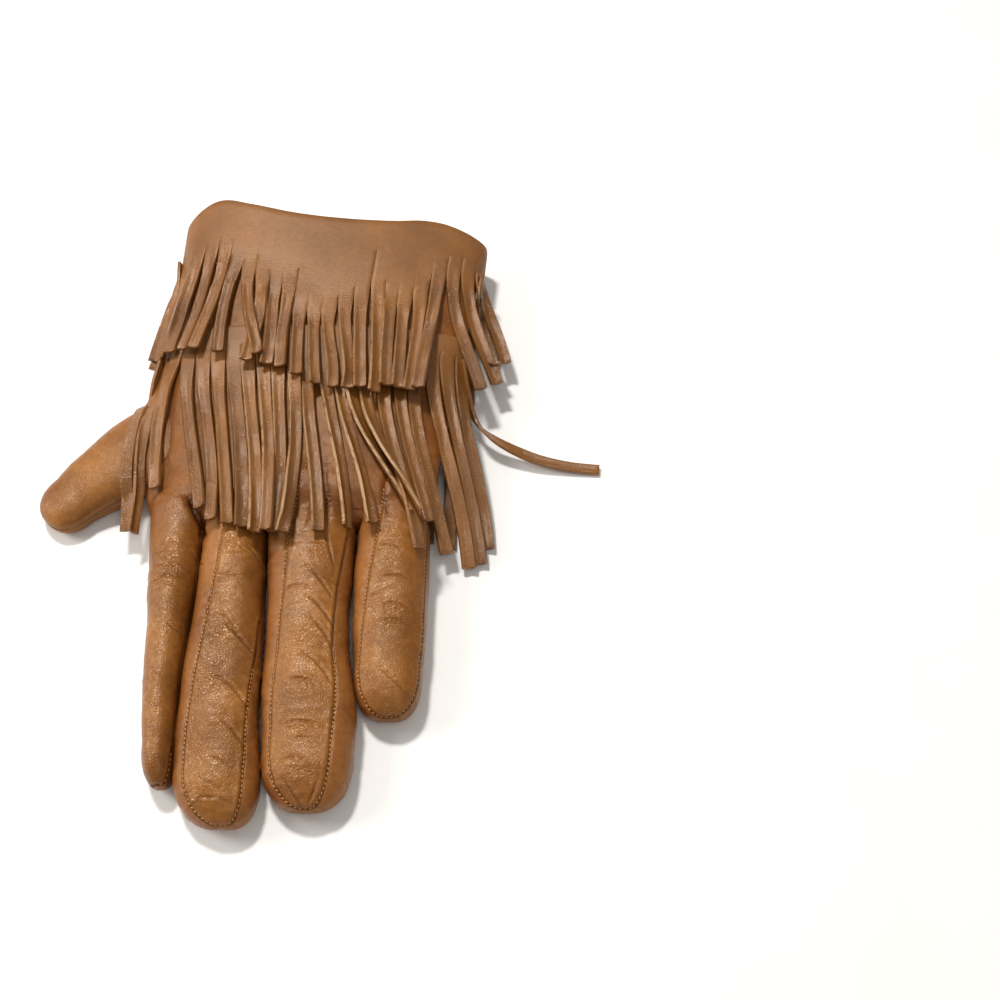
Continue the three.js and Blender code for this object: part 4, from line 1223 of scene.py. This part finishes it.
# %% One row of strips
# The band lies this far outside the skin. A strip comes free this far below the start of its slit, and
# narrows to its own width over this share of its length.
OUTSET, SLIT, LIFT, NARROWING = 0.95, 0.10, 3.0, 0.35
ROOM = 0.12


def band_place(y, turn):
    y, turn = np.broadcast_arrays(np.asarray(y, float), np.asarray(turn, float))
    return hand_point(y.ravel(), turn.ravel(), np.full(y.size, OUTSET)).reshape(*y.shape, 3)


def turn_places(y, count):
    """The angle at each of count even steps round the hand, from the thumb side over the top."""
    turn = math.pi - np.linspace(0, 2 * math.pi, 1441)
    way = way_along(band_place(y, turn))
    pitch = way[-1] / count
    turn = np.concatenate([turn[:-1] + 2 * math.pi, turn])
    way = np.concatenate([way[:-1] - way[-1], way])
    return (lambda place: np.interp((np.asarray(place) - 0.5) * pitch, way, turn)), pitch


def slit_starts(row, tips):
    """Where each slit begins, for the whole round."""
    starts = [tip[6] for tip in tips]
    return starts + [starts[-1]] * (ROWS[row]["count"] - len(starts))


def fringe_points(row, tips, pile, skins, seed):
    sizes = ROWS[row]
    count, shown_count = sizes["count"], len(tips) + (row == "lower")
    chance = np.random.default_rng(seed)
    turn_at, pitch = turn_places(sizes["slit"], count)
    columns = np.linspace(-0.5, 0.5, CELLS + 1)
    starts = slit_starts(row, tips)
    header = np.linspace(sizes["top"], sizes["slit"], HEADER_ROWS)
    strips = [None] * count
    layer = [tips[i][4] if i < len(tips) else 0 for i in range(count)]
    for i in sorted(range(count), key=lambda i: (layer[i], -(i % 2))):
        nudge = dict(zip(VARIETY, chance.uniform(-1, 1, DRAWS)))
        turn = turn_at(i + columns * (1 - SLIT / pitch))
        slit = np.linspace(sizes["slit"], min(starts[i - 1], starts[i]) - LIFT, SLIT_ROWS + 1)[1:]
        middle = band_place(slit, turn[CELLS // 2])
        ends = band_place(slit[-1], turn[[0, -1]])
        across, below, lead = unit(ends[1] - ends[0]), middle[-1], unit(middle[-1] - middle[-2])
        width = (STRIP_WIDTH + VARIETY["width"] * nudge["width"]) * np.ones(FREE_ROWS)
        width += (pitch - SLIT - width) * (1 - ease(STEPS[:, 0] / NARROWING))
        if i < len(tips):
            free = seen_strip(tips[i], below, lead, across, width, nudge, pile)
        elif i < shown_count:
            free = stray_strip(below, across, width, pile)
        else:
            free = under_strip(row, below, across, width, nudge, UNDER_SPREAD * (i == len(tips) + 1))
        free = clear_of(free, skins, THICK / 2 + ROOM)
        cut = band_place(slit[:-1, None], turn[None])
        strips[i] = np.concatenate([band_place(header[:, None], turn[None]), cut, free])
        if i < shown_count:
            pile.add(np.concatenate([cut, free]) + np.array([0, 0, THICK / 2]))
    return strips


# %% The band of one row, slit
# The strips' own pattern is measured in mm, and each strip has this much room in it
UV_STEP = 10.0


def fringe(name, strips, starts, raw_ones):
    """One grid round the cuff, slit into its strips and bent to their points."""
    count, rows = len(strips), len(strips[0])
    columns = CELLS + 1
    bm = bmesh.new()
    bmesh.ops.create_grid(bm, x_segments=count * columns, y_segments=rows - 1, size=1.0)
    uv = bm.loops.layers.uv.new("strip")
    tone, free, raw = (bm.verts.layers.float.new(key) for key in ("tone", "free", "raw"))
    tones = np.random.default_rng(7).uniform(0, 1, count)
    lengths = [way_along(strip[:, CELLS // 2]) for strip in strips]
    first_raw, last_raw, rawness = raw_ones
    grid = {}
    for v in bm.verts:
        column = round((v.co.x / 2 + 0.5) * count * columns)
        grid[v] = (column, round((0.5 - v.co.y / 2) * (rows - 1)))
    slits = []
    for face in bm.faces:
        column = min(grid[v][0] for v in face.verts)
        line = min(grid[v][1] for v in face.verts)
        strip = column // columns
        if column % columns == CELLS and line >= HEADER_ROWS - 1:
            reached = max(strips[strip][line][-1][1], strips[(strip + 1) % count][line][0][1])
            if line >= HEADER_ROWS + SLIT_ROWS - 2 or reached < starts[strip]:
                slits.append(face)
                continue
        for loop in face.loops:
            c, l = grid[loop.vert]
            across = (c - strip * columns) * STRIP_WIDTH / CELLS
            loop[uv].uv = (across + UV_STEP * strip, lengths[strip % count][l])
    for v, (column, line) in grid.items():
        strip = column // columns
        v.co = strips[strip % count][line][column % columns]
        v[free] = min(max(line - HEADER_ROWS, 0) / (2 * SLIT_ROWS), 1)
        v[raw] = v[free] * rawness * (first_raw <= strip < last_raw)
        grown = min(line / (HEADER_ROWS + 2 * SLIT_ROWS), 1)
        v[tone] = 0.5 + (tones[strip % count] - 0.5) * grown
    bmesh.ops.delete(bm, geom=slits, context="FACES")
    bmesh.ops.remove_doubles(bm, verts=bm.verts, dist=1e-3)
    bmesh.ops.recalc_face_normals(bm, faces=bm.faces)
    piece = new_piece(name, bm)
    middle = np.mean([s[HEADER_ROWS, 2] for s in strips], axis=0)
    face = piece.data.polygons[0]
    if (Vector(face.center) - Vector(middle)).dot(face.normal) < 0:
        piece.data.flip_normals()
    modify(piece, "SOLIDIFY", thickness=THICK, offset=0.0, material_offset=1, material_offset_rim=2)
    return settle(piece)


print("the bands have", [ROWS[row]["count"] for row in ROWS], "strips")

# %% [markdown]
# ## The rolled rim
#
# The skin and the upper band end in a turned rim: the leather is folded over the edge and sewn down
# inside. A ring is drawn as a short line across the fold and carried round the cuff on the same ovals as
# the skin.

# %% The rim
RIM_LINE = [
    # place along the hand and how far outside the skin
    (103.44, 1.40),
    (103.95, 1.25),
    (104.35, 0.80),
    (104.55, 0.20),
    (104.5, -0.40),
    (104.0, -1.05),
    (103.0, -1.40),
    (100.0, -1.50),
    (96.0, -1.52),
    (95.7, -1.9),
    (96.0, -2.25),
    (100.0, -2.3),
    (101.6, -2.28),
    (102.2, -1.6),
    (102.2, 0.3),
    (103.4, 0.35),
]


RIM_STEPS, RIM_FINENESS = 240, 3


def rim(name):
    line = np.array(RIM_LINE + RIM_LINE[:1])
    way = np.linspace(0, 1, len(line))

    def place(u, v):
        y, outset = (np.interp(v % 1.0, way, column) for column in line.T)
        return hand_point(y, u * 2 * math.pi, outset)

    # It shares the fringe's finish, so it has the strips' middle tone and a pattern place of its own
    piece = bent_grid(name, RIM_STEPS, (len(line) - 1) * RIM_FINENESS, place)
    mesh = piece.data
    points = points_of(mesh)
    mesh.attributes.new("tone", "FLOAT", "POINT").data.foreach_set("value", np.full(len(points), 0.5))
    corners = np.empty(len(mesh.loops), dtype=int)
    mesh.loops.foreach_get("vertex_index", corners)
    mesh.uv_layers.new(name="strip").data.foreach_set("uv", points[corners][:, [0, 2]].ravel())
    return piece


cuff_rim = rim("cuff_rim")
print("rim:", len(cuff_rim.data.polygons), "faces")

# %% Lay both rows
WORN_EDGE, EDGE_ANGLE = 0.10, math.radians(55)

pile = Pile([skin_tree, thumb_tree])
lower_strips = fringe_points("lower", LOWER_TIPS, pile, [skin_tree, thumb_tree], 11)
upper_strips = fringe_points("upper", UPPER_TIPS, pile, [skin_tree], 23)
lower_fringe = fringe("lower_strips", lower_strips, slit_starts("lower", LOWER_TIPS), ROWS["lower"]["raw"])
upper_fringe = fringe("upper_strips", upper_strips, slit_starts("upper", UPPER_TIPS), ROWS["upper"]["raw"])
for piece in (lower_fringe, upper_fringe):
    modify(piece, "BEVEL", width=WORN_EDGE, segments=1, limit_method="ANGLE", angle_limit=EDGE_ANGLE)
    settle(piece)
    print(piece.name, len(piece.data.polygons), "faces")

# %% [markdown]
# ## The finishes
#
# Nappa leather is dyed through and finished with a thin clear film. Its colour is cloudy all over, and
# shade is painted into it: darker in folds and seams, and deeper under the fringe. Its shine is broken by
# pores and fine wrinkles, much finer than the creases that are pressed into the mesh. So the material
# has three layers of relief: ridged noise for the wrinkles, a net of cells where the leather is worn,
# and small cells for the pores.

# %% A small helper for nodes


class Nodes:
    """A material's nodes. Each method adds one and gives its output."""

    def __init__(self, name):
        self.material = bpy.data.materials.new(name)
        self.material.use_nodes = True
        self.tree = self.material.node_tree
        self.shader = self.tree.nodes["Principled BSDF"]

    def put(self, node, inputs):
        for key, value in inputs.items():
            if isinstance(value, bpy.types.NodeSocket):
                self.tree.links.new(value, node.inputs[key])
            else:
                node.inputs[key].default_value = value

    def add(self, kind, output, inputs, **settings):
        node = self.tree.nodes.new("ShaderNode" + kind)
        for key, value in settings.items():
            setattr(node, key, value)
        self.put(node, inputs)
        return node.outputs[output]

    def place(self):
        return self.add("TexCoord", "Object", {})

    def attribute(self, name):
        return self.add("Attribute", "Fac", {}, attribute_name=name)

    def stretched(self, vector, scale):
        return self.add("Mapping", "Vector", {"Vector": vector, "Scale": scale})

    def clouds(self, place, scale, detail, roughness=0.5, output="Fac", **settings):
        inputs = {"Vector": place, "Scale": scale, "Detail": detail, "Roughness": roughness}
        return self.add("TexNoise", output, inputs, **settings)

    def cells(self, place, scale, edge):
        """0 at the edges of cells, rising to 1 within them."""
        inputs = {"Vector": place, "Scale": scale, "Randomness": 1.0}
        distance = self.add("TexVoronoi", "Distance", inputs, feature="DISTANCE_TO_EDGE")
        return self.ranged(distance, 0.0, edge)

    def ranged(self, value, low=0.0, high=1.0, to_low=0.0, to_high=1.0):
        """Turns values from low to high into values from to_low to to_high."""
        limits = {"From Min": low, "From Max": high, "To Min": to_low, "To Max": to_high}
        return self.add("MapRange", "Result", {"Value": value, **limits})

    def maths(self, operation, first, second):
        return self.add("Math", 0, {0: first, 1: second}, operation=operation)

    def ramp(self, factor, stops):
        node = self.add("ValToRGB", "Color", {"Fac": factor}).node
        while len(node.color_ramp.elements) < len(stops):
            node.color_ramp.elements.new(0.5)
        for element, (place, colour) in zip(node.color_ramp.elements, stops):
            element.position = place
            element.color = (*colour, 1.0)
        return node.outputs["Color"]

    def mix(self, colour, factor, shade, blend="MULTIPLY"):
        # The colour sockets of a Mix node come after its number and vector ones
        inputs = {0: factor, 6: colour, 7: (*shade, 1.0)}
        return self.add("Mix", 2, inputs, data_type="RGBA", blend_type=blend)

    def bumps(self, *layers):
        """Relief in layers of height, strength and distance in metres, each on the one before."""
        normal = None
        for height, strength, distance in layers:
            inputs = {"Height": height, "Strength": strength, "Distance": distance}
            if normal is not None:
                inputs["Normal"] = normal
            normal = self.add("Bump", "Normal", inputs)
        return normal

    def finish(self, **inputs):
        self.put(self.shader, {key.replace("_", " "): value for key, value in inputs.items()})
        return self.material


print("node helpers:", [key for key in vars(Nodes) if key[0] != "_"])

# %% The leather of the hand


def leather(name, stops, roughness, wrinkles):
    """A grain leather. stops are its colours from deep to bright."""
    nodes = Nodes(name)
    place, worn = nodes.place(), nodes.attribute("worn")
    fine = nodes.clouds(place, 620.0, 4.0, 0.65)
    colour = nodes.ramp(nodes.clouds(place, 55.0, 5.0, 0.6), stops)
    colour = nodes.mix(colour, nodes.ranged(fine, 0.40, 0.72), (0.74, 0.68, 0.62))
    # Painted shade: the colour is darker in seam grooves and creases
    colour = nodes.mix(colour, nodes.attribute("painted_groove_shade"), (0.30, 0.20, 0.14))
    # Painted shade: the colour is darker under the fringe
    colour = nodes.mix(colour, nodes.attribute("painted_fringe_shade"), (0.82, 0.72, 0.62))
    # The cells and wrinkles are read at places shifted a little by chance, so that they look grown
    warp = nodes.clouds(place, 260.0, 2.0, output="Color")
    shift = nodes.add("VectorMath", "Vector", {0: warp, "Scale": 0.0016}, operation="SCALE")
    moved = nodes.add("VectorMath", "Vector", {0: place, 1: shift}, operation="ADD")
    pores = nodes.cells(moved, 1500.0, 0.16)
    net = nodes.cells(nodes.stretched(moved, (0.62, 1.0, 1.0)), 1050.0, 0.22)
    drawn = nodes.stretched(moved, (0.36, 1.0, 0.6))
    ridges = nodes.clouds(drawn, 430.0, 6.0, 0.66, noise_type="RIDGED_MULTIFRACTAL", normalize=True)
    # Wrinkles come in zones, and most where the leather is worn
    zones = nodes.ranged(nodes.clouds(place, 85.0, 1.0), 0.45, 0.70, 0.0, 0.5)
    share = nodes.ranged(nodes.maths("ADD", zones, worn), 0.0, 1.1, 0.12, 1.0)
    normal = nodes.bumps(
        (nodes.maths("MULTIPLY", ridges, share), wrinkles, 0.00054),
        (nodes.maths("MULTIPLY", net, worn), 0.8, 0.00009),
        (pores, 0.7, 0.000045),
    )
    rough = nodes.ranged(fine, 0.0, 1.0, roughness - 0.08, roughness + 0.10)
    return nodes.finish(
        Base_Color=colour,
        Normal=normal,
        Roughness=nodes.maths("ADD", rough, nodes.ranged(worn, 0.0, 1.0, 0.0, -0.07)),
        Specular_IOR_Level=0.50,
        Specular_Tint=(1.0, 0.81, 0.60, 1.0),
    )


skin_finish = leather(
    "cognac_nappa",
    [(0.3, (0.166, 0.055, 0.009)), (0.5, (0.247, 0.090, 0.0145)), (0.72, (0.335, 0.132, 0.0245))],
    0.36,
    0.85,
)
side_finish = leather(
    "cognac_nappa_sides",
    [(0.3, (0.190, 0.062, 0.012)), (0.5, (0.275, 0.098, 0.020)), (0.72, (0.350, 0.136, 0.031))],
    0.38,
    0.85,
)
print("finishes:", skin_finish.name, side_finish.name)

# %% [markdown]
# The fringe is cut from a smoother part of the hide, rosier and with a silkier shine. It creases across
# its strips, so the creases are drawn along each strip's own pattern and fade out in the whole band. The
# knife leans as it cuts, so a narrow line of raw hide shows along the thumb side of some strips.

# %% The leather of the fringe


def strip_leather(name, stops, roughness, creases):
    nodes = Nodes(name)
    place = nodes.place()
    along = nodes.add("UVMap", "UV", {}, uv_map="strip")
    loose = nodes.attribute("free")
    fine = nodes.clouds(place, 700.0, 4.0, 0.6)
    quiet = nodes.ranged(nodes.attribute("tone"), 0.0, 1.0, 0.35, 0.65)
    both = nodes.maths("ADD", nodes.clouds(place, 60.0, 3.0), quiet)
    colour = nodes.ramp(nodes.maths("MULTIPLY", both, 0.5), stops)
    colour = nodes.mix(colour, nodes.ranged(fine, 0.42, 0.75), (0.88, 0.84, 0.80))
    inside = nodes.maths("MODULO", nodes.add("SeparateXYZ", "X", {"Vector": along}), UV_STEP)
    cut = nodes.maths("MULTIPLY", nodes.ranged(inside, 0.08, 0.28, 0.75, 0.0), nodes.attribute("raw"))
    colour = nodes.mix(colour, cut, (0.40, 0.235, 0.110), "MIX")
    colour = nodes.mix(colour, nodes.ranged(loose, 0.0, 1.0, 1.0, 0.0), (1.02, 0.98, 0.72))
    crease = nodes.clouds(nodes.stretched(along, (0.28, 0.9, 1.0)), 1.7, 4.0, 0.65)
    zones = nodes.ranged(nodes.clouds(place, 70.0, 1.0), 0.45, 0.62, 0.45, 1.0)
    amount = nodes.maths("MULTIPLY", zones, nodes.ranged(loose, 0.0, 1.0, 0.25, 1.0))
    normal = nodes.bumps(
        (nodes.maths("MULTIPLY", crease, amount), creases, 0.00075),
        (nodes.clouds(place, 1500.0, 3.0, 0.6), 0.55, 0.00014),
    )
    rough = nodes.ranged(fine, 0.0, 1.0, roughness - 0.06, roughness + 0.08)
    return nodes.finish(
        Base_Color=colour,
        Normal=normal,
        Roughness=nodes.maths("ADD", rough, nodes.ranged(loose, 0.0, 1.0, 0.34, 0.0)),
        Specular_IOR_Level=0.74,
        Specular_Tint=(1.0, 0.87, 0.74, 1.0),
    )


fringe_finish = strip_leather(
    "fringe_nappa",
    [(0.35, (0.138, 0.050, 0.0085)), (0.5, (0.196, 0.074, 0.0132)), (0.65, (0.264, 0.104, 0.0215))],
    0.215,
    0.85,
)
print("finish:", fringe_finish.name)

# %% [markdown]
# The flesh side and the cut edge have no film: short fibres, matt and pale. The thread is waxed and a
# little shiny, and a wave along it stands for its twist.

# %% Flesh side, cut edge and thread


def plain_hide(name, stops, roughness, scale, bump):
    nodes = Nodes(name)
    fibres = nodes.clouds(nodes.place(), scale, 6.0, 0.7)
    normal = nodes.bumps((fibres, bump, 0.0001))
    colour = nodes.ramp(fibres, stops)
    return nodes.finish(Base_Color=colour, Normal=normal, Roughness=roughness, Sheen_Weight=0.15)


def thread():
    nodes = Nodes("golden_thread")
    twist = nodes.add("TexWave", "Fac", {"Vector": nodes.place(), "Scale": 900.0, "Distortion": 3.0})
    colour = nodes.ramp(twist, [(0.2, (0.42, 0.165, 0.030)), (0.8, (0.72, 0.34, 0.080))])
    return nodes.finish(Base_Color=colour, Normal=nodes.bumps((twist, 0.5, 0.00008)), Roughness=0.42)


flesh_stops = [(0.3, (0.16, 0.090, 0.036)), (0.7, (0.26, 0.155, 0.070))]
edge_stops = [(0.3, (0.30, 0.175, 0.078)), (0.7, (0.47, 0.300, 0.155))]
flesh_finish = plain_hide("flesh_side", flesh_stops, 0.85, 900.0, 0.6)
edge_finish = plain_hide("cut_edge", edge_stops, 0.7, 1200.0, 0.5)
thread_finish = thread()
print("finishes:", flesh_finish.name, edge_finish.name, thread_finish.name)

# %% [markdown]
# ## Putting each piece in its place
#
# Every piece now gets its finish and smooth shading with crisp cut edges. The skin also gets its
# attributes for painted shade in seams and creases, for wear and for painted shade under the fringe,
# and its faces on the inside take the flesh side. Then the mesh is turned into metres, rides on the
# glove's one body, and stands for its CAD solid.

# %% Finish the pieces
SHARP = math.radians(50.0)
FLESH_DEPTH = 0.75


def place_piece(piece, finishes, nodes, skin=None):
    mesh = piece.data
    indices = [face.material_index for face in mesh.polygons]
    mesh.materials.clear()
    for finish in finishes:
        mesh.materials.append(finish)
    mesh.polygons.foreach_set("material_index", indices)
    if skin:
        # Attributes: painted shade in grooves, wear, and painted shade under the fringe
        for key, values in zip(("painted_groove_shade", "worn", "painted_fringe_shade"), relief(points_of(mesh))[1:]):
            attribute = mesh.attributes.new(key, "FLOAT", "POINT")
            attribute.data.foreach_set("value", values.astype(np.float32))
        for face in mesh.polygons:
            place, normal, index, distance = skin.find_nearest(face.center)
            face.material_index = int(distance > FLESH_DEPTH)
    mesh.shade_smooth()
    mesh.set_sharp_from_angle(angle=SHARP)
    move_points(mesh, metres(points_of(mesh)))
    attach(piece, "root")
    if nodes:
        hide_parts(*nodes)
    print(piece.name, len(mesh.polygons), "faces")


skin_finishes, side_finishes = [skin_finish, flesh_finish], [side_finish, flesh_finish]
strip_finishes = [fringe_finish, flesh_finish, edge_finish]
place_piece(back, skin_finishes, ["back_panel"], skin_tree)
place_piece(palm, skin_finishes, ["palm_panel"], skin_tree)
for piece, (first, second) in zip(sides, NEIGHBOURS):
    place_piece(piece, side_finishes, [f"fourchette_{first}_{second}"], skin_tree)
place_piece(thumb, skin_finishes, ["thumb"], thumb_tree)
place_piece(cuff_rim, [fringe_finish], ["cuff_hem"])
place_piece(upper_fringe, strip_finishes, ["upper_fringe"])
place_piece(lower_fringe, strip_finishes, ["lower_fringe"])
place_piece(stitches, [thread_finish], [])
for piece in (outer, thumb_outer):
    bpy.data.objects.remove(piece)

# %% [markdown]
# ## The table
#
# A large pale sheet, a hair below the glove. It isn't part of the object, and only catches its soft
# shadow.

# %% The table top
TABLE_DROP = 0.0002

bm = bmesh.new()
bmesh.ops.create_grid(bm, x_segments=1, y_segments=1, size=4.0)
for vertex in bm.verts:
    vertex.co.z = -TABLE_DROP
table = new_piece("table_top", bm)
nodes = Nodes("pale_table")
pale = [(0.3, (0.90, 0.90, 0.89)), (0.7, (0.93, 0.93, 0.92))]
colour = nodes.ramp(nodes.clouds(nodes.place(), 30.0, 3.0), pale)
table.data.materials.append(nodes.finish(Base_Color=colour, Roughness=0.7))
print("table top", TABLE_DROP, "m below the glove")

# %% [markdown]
